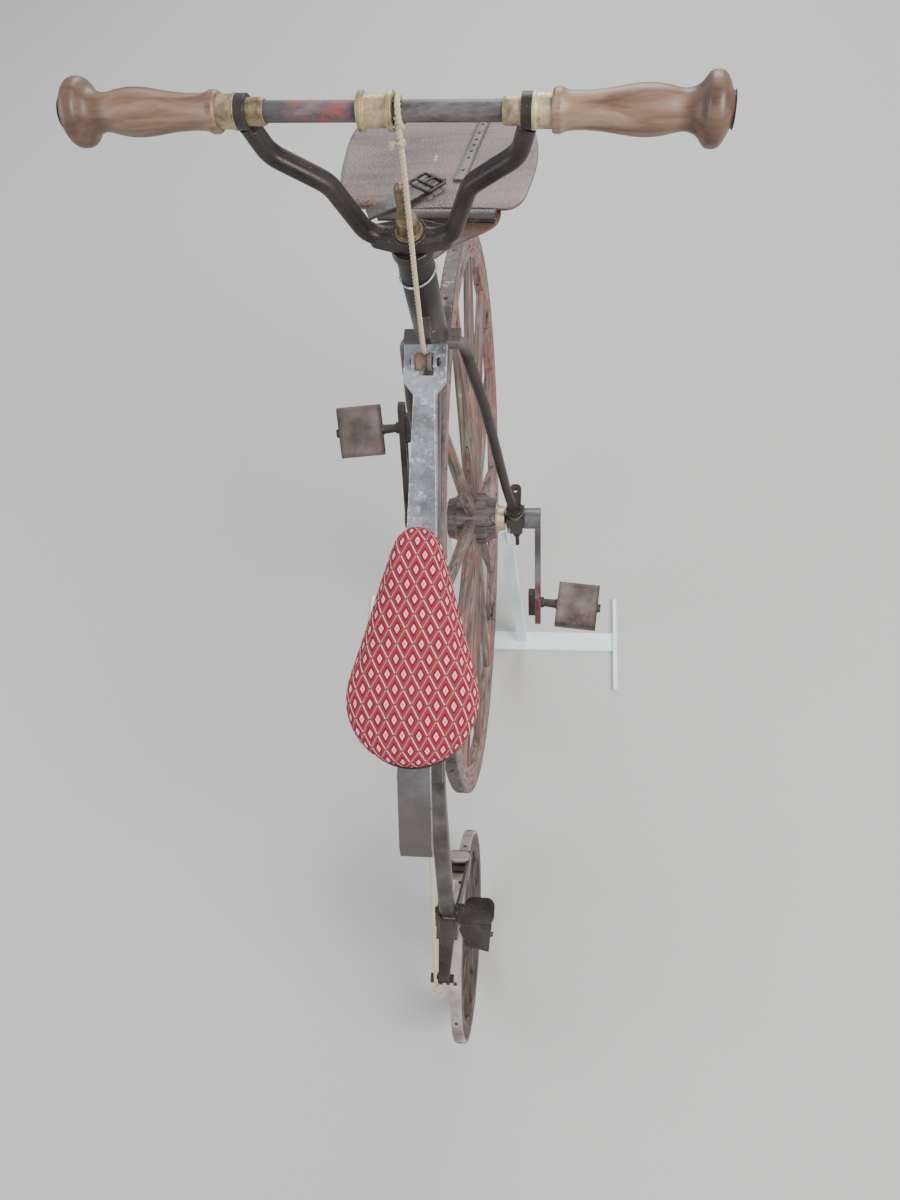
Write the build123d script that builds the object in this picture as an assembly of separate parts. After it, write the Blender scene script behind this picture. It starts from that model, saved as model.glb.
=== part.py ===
from build123d import *
import os
from math import atan2, cos, degrees, hypot, radians, sin

# An early high-wheel velocipede with wooden wheels, parked on its display stand.
# Millimetres. +X is the rider's right, +Y is forward, +Z is up.
# Every builder below works from the floor point under the front axle; save() then
# slides the finished piece forward so that the origin is under the middle of the whole.

# Driving dimensions
FRONT_R = 480.0          # front wheel over its iron tyre
REAR_R = 178.0           # rear wheel over its iron tyre
WHEELBASE = 668.0        # front axle to rear axle along the floor
STAND_LIFT = 10.0        # floor to the underside of the front tyre
RAKE = 7.0               # steering axis leans back by this, degrees
BAR_TURN = -3.5          # handlebar turned on its stem, degrees
CRANK_R = 167.0          # axle to pedal pin
CRANK_ANGLE = -127.0     # right crank from straight ahead, degrees, up is positive
PEDAL_TILT = {"right": 4.0, "left": 38.0}

# Fits
RUN_FIT = 0.06           # radial clearance of a shaft that turns
SEAT_FIT = 0.05          # radial clearance of a fixed round joint
FACE_GAP = 0.3           # end play between faces that turn past each other
REST_GAP = 0.3           # a soft or curved piece from its seat

# Iron tyres, wooden felloes and spokes
TYRE_T = 6.0
FRONT_TYRE_W = 21.0
REAR_TYRE_W = 18.0
FRONT_FELLOE = 38.0      # felloe depth
REAR_FELLOE = 30.0
FRONT_SPOKES = 12
REAR_SPOKES = 8
FRONT_SPOKE_R = (9.5, 10.5, 7.5)     # at the hub, at the swell, at the felloe
REAR_SPOKE_R = (6.5, 7.2, 5.5)

# Hubs and axles
HUB_R = 45.0             # front hub, spoke belt
HUB_BELT = 24.0          # half length of the belt
HUB_END_R = 35.0
HUB_WOOD = 42.0          # half length of the wood
HUB_RING_R = 23.0
HUB_HALF = 57.0          # half length over the brass end rings
AXLE_R = 9.0
REAR_HUB_R = 27.0
REAR_HUB_END_R = 20.0
REAR_HUB_HALF = 20.0
REAR_AXLE_R = 5.0

HUB_Z = STAND_LIFT + FRONT_R
TOP_Z = STAND_LIFT + 2 * FRONT_R

# Front fork, in the steering frame: s runs up the axis from the axle
CROWN_TOP = FRONT_R + 74.0
CROWN_H = 15.0
CROWN_T = 24.0
CROWN_X = 35.0           # where the crown turns down into a leg
CROWN_BEND = 20.0
LEG_R = 7.5
# leg centre line: distance out, distance under the crown's middle
LEG_POINTS = ((51.0, 160.0), (66.0, 420.0), (74.0, 516.0))
LEG_BENDS = (160.0, 400.0)
BLOCK_X = 61.0           # inner face of the bearing block
BLOCK_W = 31.0
BLOCK_Y = 30.0
BLOCK_H = 24.0           # top of the block above the axle
COLLAR_RINGS = ((16.0, 10.0), (13.5, 8.0))   # radius and height of the rings on a leg's foot
LUG_W = 20.0
LUG_Y = 46.0             # how far the oiling lug reaches ahead of the axle
LUG_S = (34.0, 44.0)
OIL_HOLE_R = 4.0
CAP_T = 11.0             # full-width part of the lower cap
CAP_LOW = 35.0           # narrow part ends this far under the axle
CAP_LOW_W = 21.6
NUT_R = 9.0
NUT_H = 14.0
STUD_R = 3.7
STUD_LEN = 30.0
STUD_LEAN = 18.0
STEERER_R = 10.0

# Head and its fittings up the steering axis
HEAD_R = 20.0
HEAD_TOP = CROWN_TOP + 165.0
HEAD_COLLAR_R = 23.0
HEAD_COLLAR_H = 12.0
RING_R = 18.0            # centre ring of the handlebar arms
RING_H = 17.0
WASHER_R = 15.0
WASHER_T = 4.0
LOCKNUT_R = 13.0
LOCKNUT_H = 12.0
STEERER_TOP = HEAD_TOP + FACE_GAP + RING_H + WASHER_T + LOCKNUT_H
ACORN_R = 6.2
ACORN_H = 49.0

# Handlebar
BAR_S = FRONT_R + 407.0  # bar above the axle along the steering axis
BAR_R = 9.0
EYE_X = 127.0            # arm eye from the middle
BAR_EYE_R = 15.0
BAR_EYE_W = 9.4
ARM_T = 17.0
ARM_W = 20.0
ARM_TOP_DROP = 13.0      # arm path ends this far under the bar's axis
FERRULE_W = 18.0
FERRULE_R = 14.3
COLLAR_W = 16.0
COLLAR_R = 11.7
SPOOL_X = -5.0
SPOOL_W = 31.0
SPOOL_R = 13.5
SPOOL_FLANGE_R = 16.5
SPOOL_FLANGE_W = 4.0
WINDING_W = 7.0
WINDING_R = 14.0
GRIP_IN = EYE_X + BAR_EYE_W / 2 + FERRULE_W - 1

# Backbone, spring and saddle, side view points (forward, up)
BACKBONE_W = 22.0
BACKBONE_T = 20.0
BACKBONE_ROOT = 29.0     # where it leaves the head, above the crown
WHEEL_GAP = 22.0         # tyre to backbone
BACKBONE_BENDS = (80.0, 420.0, 240.0, 60.0)
SPRING_T = 7.0
# (ahead of the front axle, above the front tyre's top), then (ahead of the rear axle, same)
SPRING_FRONT = ((-110.0, 101.0), (-148.0, 90.0), (-200.0, 69.0), (-306.0, 22.0))
SPRING_TAIL = ((96.0, -66.0), (28.0, -122.0), (19.5, -137.0))
SPRING_BENDS = (60.0, 400.0, 400.0, 80.0, 10.0)
# plan of the spring: distance ahead of the front axle, half width
SPRING_PLAN = ((-90, 25), (-152, 25), (-166, 12.5), (-310, 17), (-480, 19), (-900, 19))
SLOT_W = 21.0
SLOT_Y = (-148.0, -121.0)
PULLEY_Y = -135.0
PULLEY_LIFT = 5.0        # pulley's middle over the plate's top
PULLEY_R = 10.5
PULLEY_W = 18.0
PULLEY_PIN_R = 3.0
SADDLE_Y = (-575.0, -321.0)
SADDLE_NOSE_R = 28.0
SADDLE_MID_R = 61.5      # half width at a place this far behind the nose:
SADDLE_MID_AT = 140.0
SADDLE_REAR_R = 76.5
SADDLE_T = 34.0
BASE_T = 8.0
SPACER_T = 8.0

# Rear end
REAR_CROWN_LOW = 398.0
REAR_CROWN_T = 26.0
REAR_LEG_X = 27.0        # inner face of a rear fork blade
REAR_LEG_T = 6.0
REAR_LEG_W = 20.0
LEVER_Z = 488.0
LEVER_CHEEK_T = 4.0
LEVER_ARM_W = (26.0, 15.0)
LEVER_PIN_R = 5.0
ROLLER_AT = (-760.0, 478.0)
ROLLER_R = 7.0
SHOE_GAP = 8.0           # brake shoe to rear tyre
SHOE_T = 15.0
SHOE_L = 46.0
SHOE_W = 30.0
SHOE_ANGLE = 27.0        # ahead of the top of the rear wheel

# Cord
CORD_R = 2.75

# Stand
FOOT_Y = -29.0           # foot bar centre ahead of the front axle
FOOT_W = 42.0
FOOT_T = 5.0
TEE_X = 271.0
TEE_W = 8.0
TEE_H = 12.0
TEE_Y = (-141.0, 73.0)
ANGLE_LEG = 20.0
ANGLE_T = 3.0
UPRIGHT_FOOT_X = 62.0
UPRIGHT_TOP_X = 44.5
UPRIGHT_TOP_DROP = 39.0  # top of the angle iron under the axle
CRADLE_T = 3.0
CRADLE_W = 26.0

# Leather apron over the wheel, ahead of the head
APRON_HALF_W = 121.0
APRON_LEN = 226.0
APRON_T = 4.0
APRON_REAR = (28.0, TOP_Z + 180.0)
APRON_X = 10.0
APRON_SLOPE = 12.5
TONGUE_W = 110.0

SPRING_POINTS = [(y, TOP_Z + z) for y, z in SPRING_FRONT] + [(y - WHEELBASE, TOP_Z + z) for y, z in SPRING_TAIL]
SHIFT_Y = (WHEELBASE + REAR_R - FRONT_R) / 2
STEER = Pos(0, 0, HUB_Z) * Rot(RAKE, 0, 0)
BAR_PLACE = STEER * Pos(0, 0, BAR_S) * Rot(0, 0, BAR_TURN)
ARMS_PLACE = STEER * Rot(0, 0, BAR_TURN)
FRONT_AXLE = Pos(0, 0, HUB_Z)
REAR_AXLE = Pos(0, -WHEELBASE, REAR_R)
SIDES = {"right": 1, "left": -1}

os.makedirs("parts", exist_ok=True)


def save(name, *solids):
    placed = [Pos(0, SHIFT_Y, 0) * solid for solid in solids]
    export_step(Compound(children=placed) if len(placed) > 1 else placed[0], f"parts/{name}.step")


def turned(points):
    """A solid turned about the X axis from a closed outline of (x, radius) points."""
    return revolve(make_face(Polyline(*points, close=True)), Axis.X)


def cyl_x(radius, x0, x1, y=0.0, z=0.0):
    return Pos((x0 + x1) / 2, y, z) * Rot(0, 90, 0) * Cylinder(radius, x1 - x0)


def block(x, y, z):
    """A box from its (low, high) pairs."""
    sizes = [hi - lo for lo, hi in (x, y, z)]
    middle = [(hi + lo) / 2 for lo, hi in (x, y, z)]
    return Pos(*middle) * Box(*sizes)


def side_view(points, half_width):
    """A plate whose outline is drawn in side view, (forward, up), and that spans +-X."""
    outline = Polyline(*[(0, y, z) for y, z in points], close=True)
    return extrude(make_face(outline), half_width, dir=(1, 0, 0), both=True)


def bent(points, radii):
    """A line of straight runs with rounded bends; a radius that doesn't fit is cut down."""
    vectors = [Vector(*p) for p in points]
    turns = [radians((b - a).get_angle(c - b)) for a, b, c in zip(vectors, vectors[1:], vectors[2:])]
    runs = [(b - a).length for a, b in zip(vectors, vectors[1:])]
    needs = [r * sin(t / 2) / cos(t / 2) for r, t in zip(radii, turns)]
    fitted = []
    for i, (radius, need) in enumerate(zip(radii, needs)):
        before = needs[i - 1] if i > 0 else 0
        after = needs[i + 1] if i + 1 < len(needs) else 0
        share = min(1, 0.96 * runs[i] / (need + before), 0.96 * runs[i + 1] / (need + after))
        fitted.append(radius * share)
    return FilletPolyline(*vectors, radius=fitted)


def swept(path, section):
    start = Plane(origin=path @ 0, x_dir=(1, 0, 0), z_dir=path % 0)
    return sweep(start * section, path=path)


def steer_point(y, s):
    """Side view place of a point y ahead of the steering axis and s up it."""
    a = radians(RAKE)
    return y * cos(a) - s * sin(a), HUB_Z + y * sin(a) + s * cos(a)


# Wheels
def tyre(radius, width):
    edge = 1.5
    inner = radius - TYRE_T
    return turned(
        [
            (-width / 2, inner),
            (-width / 2, radius - edge),
            (-width / 2 + edge, radius),
            (width / 2 - edge, radius),
            (width / 2, radius - edge),
            (width / 2, inner),
        ]
    )


def felloe(radius, width, depth):
    outer = radius - TYRE_T - SEAT_FIT
    inner = outer - depth
    half = width / 2 - 0.5
    bevel = 4.0
    return turned(
        [
            (-half, outer),
            (-half, inner + bevel),
            (-half + bevel, inner),
            (half - bevel, inner),
            (half, inner + bevel),
            (half, outer),
        ]
    )


def spokes(count, hub_r, rim_r, radii):
    at_hub, at_swell, at_rim = radii
    length = rim_r - hub_r
    swell = length * 0.16
    profile = Polyline(
        (0, 0, hub_r - 4),
        (at_hub, 0, hub_r - 4),
        (at_hub, 0, hub_r),
        (at_swell, 0, hub_r + swell),
        (at_rim, 0, rim_r),
        (at_rim, 0, rim_r + 2),
        (0, 0, rim_r + 2),
        close=True,
    )
    one = revolve(make_face(profile), Axis.Z)
    width = 4 * at_swell
    one = one - Rot(0, 90, 0) * Cylinder(hub_r + SEAT_FIT, width)
    one = one & (Rot(0, 90, 0) * Cylinder(rim_r - SEAT_FIT, width))
    return [Rot(360 * (i + 0.5) / count, 0, 0) * one for i in range(count)]


def make_front_wheel():
    rim_r = FRONT_R - TYRE_T - SEAT_FIT - FRONT_FELLOE
    bore = AXLE_R + SEAT_FIT
    save("front_tyre", FRONT_AXLE * tyre(FRONT_R, FRONT_TYRE_W))
    save("front_felloe", FRONT_AXLE * felloe(FRONT_R, FRONT_TYRE_W, FRONT_FELLOE))
    save("front_spokes", *[FRONT_AXLE * s for s in spokes(FRONT_SPOKES, HUB_R, rim_r, FRONT_SPOKE_R)])
    hub = turned(
        [
            (-HUB_WOOD, bore),
            (-HUB_WOOD, HUB_END_R),
            (-HUB_BELT - 6, HUB_END_R + 3),
            (-HUB_BELT, HUB_R),
            (HUB_BELT, HUB_R),
            (HUB_BELT + 6, HUB_END_R + 3),
            (HUB_WOOD, HUB_END_R),
            (HUB_WOOD, bore),
        ]
    )
    save("front_hub", FRONT_AXLE * hub)
    for side, sign in SIDES.items():
        ring = turned(
            [
                (sign * HUB_WOOD, bore),
                (sign * HUB_WOOD, HUB_END_R - 6),
                (sign * (HUB_WOOD + 3), HUB_END_R - 6),
                (sign * (HUB_WOOD + 3), HUB_RING_R),
                (sign * HUB_HALF, HUB_RING_R - 2),
                (sign * HUB_HALF, bore),
            ]
        )
        save(f"hub_ring_{side}", FRONT_AXLE * ring)


def crank_place(side):
    turn = CRANK_ANGLE if side == "right" else CRANK_ANGLE + 180
    return FRONT_AXLE * Rot(turn, 0, 0)


CRANK_IN = BLOCK_X + BLOCK_W + FACE_GAP
BOSS_W = 28.0
BOSS_R = 18.5
ARM_THICK = 10.5
CRANK_TIP = 212.0
CRANK_W = 24.0
SLOT_FROM = 118.0
PIN_R = 6.0
NECK_LEN = 30.0
PEDAL_W = 74.0
PEDAL_L = 86.0
PEDAL_T = 24.0
PEDAL_BEND = 6.0         # pedal pins are bent back by this, degrees
CLAMP_L = 50.0


def make_cranks():
    axle = cyl_x(AXLE_R, -CRANK_IN, CRANK_IN)
    square = AXLE_R * 1.3
    axle_end = CRANK_IN + BOSS_W
    tang = block((-axle_end, axle_end), (-square / 2, square / 2), (-square / 2, square / 2))
    turn = Rot(CRANK_ANGLE, 0, 0)
    save("front_axle", FRONT_AXLE * (axle + turn * tang))
    for side, sign in SIDES.items():
        inner = CRANK_IN
        outer = CRANK_IN + BOSS_W
        face = outer - ARM_THICK
        # the arm lies along local +Y and is drawn for the right side
        outline = (
            Pos(0, CRANK_TIP / 2 - CRANK_W / 4) * Rectangle(CRANK_W, CRANK_TIP - CRANK_W / 2)
            + Pos(0, CRANK_TIP - CRANK_W / 2) * Circle(CRANK_W / 2)
        )
        slot_len = CRANK_TIP - CRANK_W / 2 - SLOT_FROM
        slot = Pos(0, SLOT_FROM + slot_len / 2) * Rot(0, 0, 90) * SlotCenterToCenter(slot_len, 2 * (PIN_R + SEAT_FIT))
        flat = Plane(origin=(face, 0, 0), x_dir=(0, 0, -1), z_dir=(1, 0, 0))
        arm = extrude(flat * (outline - slot), ARM_THICK)
        crank = cyl_x(BOSS_R, inner, outer) + arm
        hole = square + 2 * SEAT_FIT
        crank = crank - block((inner - 1, outer + 1), (-hole / 2, hole / 2), (-hole / 2, hole / 2))
        clamp = block((face - 12, face - SEAT_FIT), (-CLAMP_L / 2, CLAMP_L / 2), (-10, 10))
        clamp = fillet(clamp.edges().filter_by(Axis.X), 5)
        shank = clamp + cyl_x(PIN_R, face - 2, outer + 1) + cyl_x(10, outer + SEAT_FIT, outer + 6)
        end = outer + NECK_LEN + PEDAL_W + 2 * FACE_GAP
        neck = turned(
            [(outer + 2, 0), (outer + 2, 7), (outer + NECK_LEN - 4, 8), (outer + NECK_LEN, 10), (outer + NECK_LEN, PIN_R),
             (end, PIN_R), (end, PIN_R + 2.5), (end + 5, PIN_R + 1), (end + 5, 0)]
        )
        body = Rot(PEDAL_TILT[side], 0, 0) * pedal_body(outer + NECK_LEN + FACE_GAP)
        if sign < 0:
            body = Rot(PEDAL_TILT[side], 0, 0) * pedal_body(outer + NECK_LEN + FACE_GAP).mirror(Plane.YZ)
            crank, shank, neck = [s.mirror(Plane.YZ) for s in (crank, shank, neck)]
        place = crank_place(side)
        save(f"crank_{side}", place * crank)
        spot = (place * Pos(0, CRANK_R, 0)).position
        spot = Pos(spot.X, spot.Y, spot.Z)
        bend = Pos(sign * outer, 0, 0) * Rot(0, 0, -sign * PEDAL_BEND) * Pos(-sign * outer, 0, 0)
        save(f"pedal_pin_{side}", place * Pos(0, CRANK_R, 0) * shank + spot * bend * neck)
        save(f"pedal_{side}", spot * bend * body)


def pedal_body(low):
    """A rounded hollow iron tread with a boss along its middle; it starts at X = low."""
    plane = Plane(origin=(low, 0, 0), x_dir=(0, 1, 0), z_dir=(1, 0, 0))
    wall = 4.0
    outer = RectangleRounded(PEDAL_L, PEDAL_T, 8)
    inner = RectangleRounded(PEDAL_L - 2 * wall, PEDAL_T - 2 * wall, 4)
    boss = Circle(PEDAL_T / 2 - wall + 1)
    section = outer - inner + boss - Circle(PIN_R + RUN_FIT)
    return extrude(plane * section, PEDAL_W)


def make_rear_wheel():
    rim_r = REAR_R - TYRE_T - SEAT_FIT - REAR_FELLOE
    save("rear_tyre", REAR_AXLE * tyre(REAR_R, REAR_TYRE_W))
    save("rear_felloe", REAR_AXLE * felloe(REAR_R, REAR_TYRE_W, REAR_FELLOE))
    save("rear_spokes", *[REAR_AXLE * s for s in spokes(REAR_SPOKES, REAR_HUB_R, rim_r, REAR_SPOKE_R)])
    bore = REAR_AXLE_R + RUN_FIT
    hub = turned(
        [
            (-REAR_HUB_HALF, bore),
            (-REAR_HUB_HALF, REAR_HUB_END_R),
            (-10, REAR_HUB_R),
            (10, REAR_HUB_R),
            (REAR_HUB_HALF, REAR_HUB_END_R),
            (REAR_HUB_HALF, bore),
        ]
    )
    save("rear_hub", REAR_AXLE * hub)
    reach = REAR_LEG_X + REAR_LEG_T
    bolt = cyl_x(REAR_AXLE_R, -reach - 9, reach + 9)
    for sign in (1, -1):
        nut = Pos(sign * (reach + 4), 0, 0) * Rot(0, 90, 0) * extrude(RegularPolygon(9, 6), 4, both=True)
        collar = cyl_x(REAR_AXLE_R + 4, REAR_HUB_HALF + FACE_GAP, REAR_LEG_X)
        bolt = bolt + nut + (collar if sign > 0 else collar.mirror(Plane.YZ))
    save("rear_axle", REAR_AXLE * bolt)


# Front fork
def make_fork():
    level = CROWN_TOP - CROWN_H / 2
    fork = block((-CROWN_X, CROWN_X), (-CROWN_T / 2, CROWN_T / 2), (CROWN_TOP - CROWN_H, CROWN_TOP))
    fork = fillet(fork.edges().filter_by(Axis.X), 4)
    fork = fork + Pos(0, 0, (CROWN_TOP + STEERER_TOP) / 2) * Cylinder(STEERER_R, STEERER_TOP - CROWN_TOP)
    points = [(0, 0, level), (CROWN_X, 0, level)] + [(x, 0, level - down) for x, down in LEG_POINTS]
    path = bent(points, (CROWN_BEND,) + LEG_BENDS)
    middle = BLOCK_X + BLOCK_W / 2
    for sign in (1, -1):
        leg = sweep(Plane(origin=path @ 0, z_dir=path % 0) * Circle(LEG_R), path=path)
        end = leg + block((BLOCK_X, BLOCK_X + BLOCK_W), (-BLOCK_Y / 2, BLOCK_Y / 2), (0, BLOCK_H))
        low = BLOCK_H
        for radius, height in COLLAR_RINGS:
            ring = Pos(middle, 0, low + height / 2) * Cylinder(radius, height)
            end = end + fillet(ring.edges().group_by(Axis.Z)[-1], 3)
            low = low + height
        lug = block((middle - LUG_W / 2, middle + LUG_W / 2), (0, LUG_Y), LUG_S)
        lug = fillet(lug.edges().filter_by(Axis.Z).group_by(Axis.Y)[-1], LUG_W / 2 - 1)
        end = end + lug - Pos(middle, LUG_Y - 12, sum(LUG_S) / 2) * Cylinder(OIL_HOLE_R, 20)
        end = end - cyl_x(AXLE_R + RUN_FIT, BLOCK_X - 1, BLOCK_X + BLOCK_W + 1)
        fork = fork + (end if sign > 0 else end.mirror(Plane.YZ))
    save("fork", STEER * fork)
    for side, sign in SIDES.items():
        cap = block((BLOCK_X, BLOCK_X + BLOCK_W), (-BLOCK_Y / 2, BLOCK_Y / 2), (-CAP_T, 0))
        half = CAP_LOW_W / 2
        cap = cap + block((middle - half, middle + half), (-BLOCK_Y / 2, BLOCK_Y / 2), (-CAP_LOW, -CAP_T))
        cap = cap - cyl_x(AXLE_R + RUN_FIT, BLOCK_X - 1, BLOCK_X + BLOCK_W + 1)
        nut = Pos(0, 0, -NUT_H) * extrude(RegularPolygon(NUT_R, 6), NUT_H + 4)
        stud = Pos(0, 0, -(NUT_H + STUD_LEN) / 2) * Cylinder(STUD_R, NUT_H + STUD_LEN)
        cap = cap + Pos(middle, -4, -CAP_LOW) * Rot(-STUD_LEAN, 0, 0) * (nut + stud)
        save(f"bearing_cap_{side}", STEER * (cap if sign > 0 else cap.mirror(Plane.YZ)))


def make_handlebar():
    seat = HEAD_TOP + FACE_GAP
    ring = Pos(0, 0, seat + RING_H / 2) * Cylinder(RING_R, RING_H)
    level = seat + RING_H / 2
    end = BAR_S - ARM_TOP_DROP
    points = ((0, level), (43, level), (69, BAR_S - 86), (118, BAR_S - 48), (EYE_X, end))
    path = bent([(x, 0, s) for x, s in points], (26, 34, 32))
    section = RectangleRounded(ARM_T, ARM_W, 7)
    start = Plane(origin=path @ 0, x_dir=(0, 0, 1), z_dir=path % 0)
    arm = sweep(start * section, path=path)
    eye = cyl_x(BAR_EYE_R, EYE_X - BAR_EYE_W / 2, EYE_X + BAR_EYE_W / 2, 0, BAR_S)
    root = Pos(0, 0, level) * extrude(make_hull((Circle(RING_R) + Pos(34, 0) * Circle(ARM_W / 2)).edges()), RING_H / 2 - 1, both=True)
    half = arm + eye + root
    half = half & block((0, 400), (-60, 60), (0, 2 * BAR_S))
    for x in (EYE_X - BAR_EYE_W / 2 - 20, EYE_X + BAR_EYE_W / 2):
        half = half - block((x, x + 20), (-60, 60), (BAR_S - FERRULE_R - 1.5, BAR_S + 40))
    arms = ring + half + half.mirror(Plane.YZ)
    arms = arms - cyl_x(BAR_R + SEAT_FIT, -400, 400, 0, BAR_S)
    arms = arms - Pos(0, 0, level) * Cylinder(STEERER_R + SEAT_FIT, 3 * RING_H)
    save("handlebar_arms", ARMS_PLACE * arms)
    save("handlebar", BAR_PLACE * cyl_x(BAR_R, REST_GAP - GRIP_IN, GRIP_IN - REST_GAP))
    top = seat + RING_H
    washer = Pos(0, 0, top + WASHER_T / 2) * Cylinder(WASHER_R, WASHER_T)
    nut = Pos(0, 0, top + WASHER_T) * extrude(RegularPolygon(LOCKNUT_R, 6), LOCKNUT_H)
    cap = [
        (0, 0),
        (LOCKNUT_R - 1, 0),
        (LOCKNUT_R - 1, 3),
        (ACORN_R + 1, 8),
        (ACORN_R, 12),
        (ACORN_R, ACORN_H - 8),
        (ACORN_R - 3, ACORN_H),
        (0, ACORN_H),
    ]
    outline = Polyline(*[(x, 0, STEERER_TOP + z) for x, z in cap], close=True)
    acorn = revolve(make_face(outline), Axis.Z)
    bore = Pos(0, 0, STEERER_TOP - 50) * Cylinder(STEERER_R + SEAT_FIT, 100 + 2 * SEAT_FIT)
    save("head_nut", STEER * (washer + nut + acorn - bore))
    for side, sign in SIDES.items():
        outer = EYE_X + BAR_EYE_W / 2
        inner = EYE_X - BAR_EYE_W / 2
        ferrule = turned(
            [(outer, BAR_R + SEAT_FIT), (outer, FERRULE_R + 1), (outer + 3, FERRULE_R + 1), (outer + 4, FERRULE_R),
             (outer + FERRULE_W - 1, FERRULE_R), (outer + FERRULE_W - 1, BAR_R + SEAT_FIT)]
        )
        collar = turned(
            [(inner, BAR_R + SEAT_FIT), (inner, COLLAR_R), (inner - COLLAR_W + 3, COLLAR_R),
             (inner - COLLAR_W, COLLAR_R - 1), (inner - COLLAR_W, BAR_R + SEAT_FIT)]
        )
        grip = make_grip()
        parts = {"ferrule": ferrule, "bar_collar": collar, "grip": grip}
        for name, solid in parts.items():
            save(f"{name}_{side}", BAR_PLACE * (solid if sign > 0 else solid.mirror(Plane.YZ)))
    half = SPOOL_W / 2
    spool = turned(
        [(-half, BAR_R + SEAT_FIT), (-half, SPOOL_FLANGE_R), (-half + SPOOL_FLANGE_W, SPOOL_FLANGE_R),
         (-half + SPOOL_FLANGE_W + 2, SPOOL_R), (half - SPOOL_FLANGE_W - 2, SPOOL_R),
         (half - SPOOL_FLANGE_W, SPOOL_FLANGE_R), (half, SPOOL_FLANGE_R), (half, BAR_R + SEAT_FIT)]
    )
    save("cord_spool", BAR_PLACE * Pos(SPOOL_X, 0, 0) * spool)
    start = SPOOL_X + half + 0.2
    winding = turned(
        [(start, BAR_R + SEAT_FIT), (start, WINDING_R - 2), (start + 2, WINDING_R),
         (start + WINDING_W - 2, WINDING_R), (start + WINDING_W, WINDING_R - 2), (start + WINDING_W, BAR_R + SEAT_FIT)]
    )
    save("cord_winding", BAR_PLACE * winding)


def make_grip():
    """Turned wood, right side: bead, waist, swelling, neck and mushroom end."""
    x = GRIP_IN
    swell = [(9, 17.2), (20, 15.2), (46, 16.8), (78, 20.6), (100, 18.0), (113, 16.6), (120, 19.5), (126, 26.5)]
    line = Polyline((x, 0), (x, 16.6), (x + 2, 18.0), (x + 7, 18.0), (x + 9, 17.2))
    line = line + Spline(*[(x + along, r) for along, r in swell], tangents=[(1, -0.6), (1, 1.3)])
    line = line + Spline((x + 126, 26.5), (x + 132, 29.5), (x + 140, 27.5), (x + 148, 14), (x + 150, 0),
                         tangents=[(1, 1.3), (0, -1)])
    line = line + Line((x + 150, 0), (x, 0))
    return revolve(make_face(Wire(line.edges())), Axis.X)


# Head, backbone, spring and saddle
def make_backbone():
    root = steer_point(-12, CROWN_TOP + BACKBONE_ROOT)
    knee = steer_point(-56, CROWN_TOP - 18)
    reach = FRONT_R + WHEEL_GAP + BACKBONE_T / 2
    slope = radians(40)
    # the straight run behind the knee is tangent to a circle round the front axle
    touch = (-reach * sin(slope), HUB_Z + reach * cos(slope))
    bend = (touch[0] + 55 * cos(slope), touch[1] + 55 * sin(slope))
    drop_y = -(WHEELBASE - 125)
    drop = (drop_y, touch[1] + (drop_y - touch[0]) * sin(slope) / cos(slope))
    tail_slope = radians(57.5)
    foot_y = -WHEELBASE
    foot = (foot_y, drop[1] + (foot_y - drop_y) * sin(tail_slope) / cos(tail_slope))
    end = (foot_y, REAR_CROWN_LOW + REAR_CROWN_T)
    points = [root, knee, bend, drop, foot, end]
    path = bent([(0, y, z) for y, z in points], BACKBONE_BENDS)
    bar = swept(path, RectangleRounded(BACKBONE_W, BACKBONE_T, 5))
    low = CROWN_TOP + FACE_GAP
    head = Pos(0, 0, (low + HEAD_TOP) / 2) * Cylinder(HEAD_R, HEAD_TOP - low)
    collar = Pos(0, 0, HEAD_TOP - HEAD_COLLAR_H / 2) * Cylinder(HEAD_COLLAR_R, HEAD_COLLAR_H)
    head = STEER * (head + collar)
    front = SPRING_POINTS[0][0] + 2
    back = SLOT_Y[1] + 2
    foot_z = TOP_Z + 72
    seat = side_view([(front, spring_low(front) - 0.05), (back, spring_low(back) - 0.05), (back, foot_z), (front + 26, foot_z)], 12)
    rib_top = spring_low(front) + SPRING_T + 6
    rib = side_view([(front, foot_z), (front, rib_top), (front + 17, rib_top + 26), (front + 26, foot_z)], 6)
    frame = bar + head + seat + rib
    frame = frame - STEER * Pos(0, 0, CROWN_TOP + 86) * Cylinder(STEERER_R + RUN_FIT, 400)
    frame = frame - cyl_x(LEVER_PIN_R + SEAT_FIT, -60, 60, -WHEELBASE, LEVER_Z)
    save("backbone", frame)


def spring_low(y):
    """Height of the underside of the spring's flat front at a place y."""
    (y0, z0), (y1, z1) = SPRING_POINTS[:2]
    run = hypot(y1 - y0, z1 - z0)
    return z0 + (y - y0) * (z1 - z0) / (y1 - y0) - SPRING_T / 2 * run / abs(y1 - y0)


def pulley_z():
    return spring_low(PULLEY_Y) + SPRING_T + PULLEY_LIFT


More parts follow.
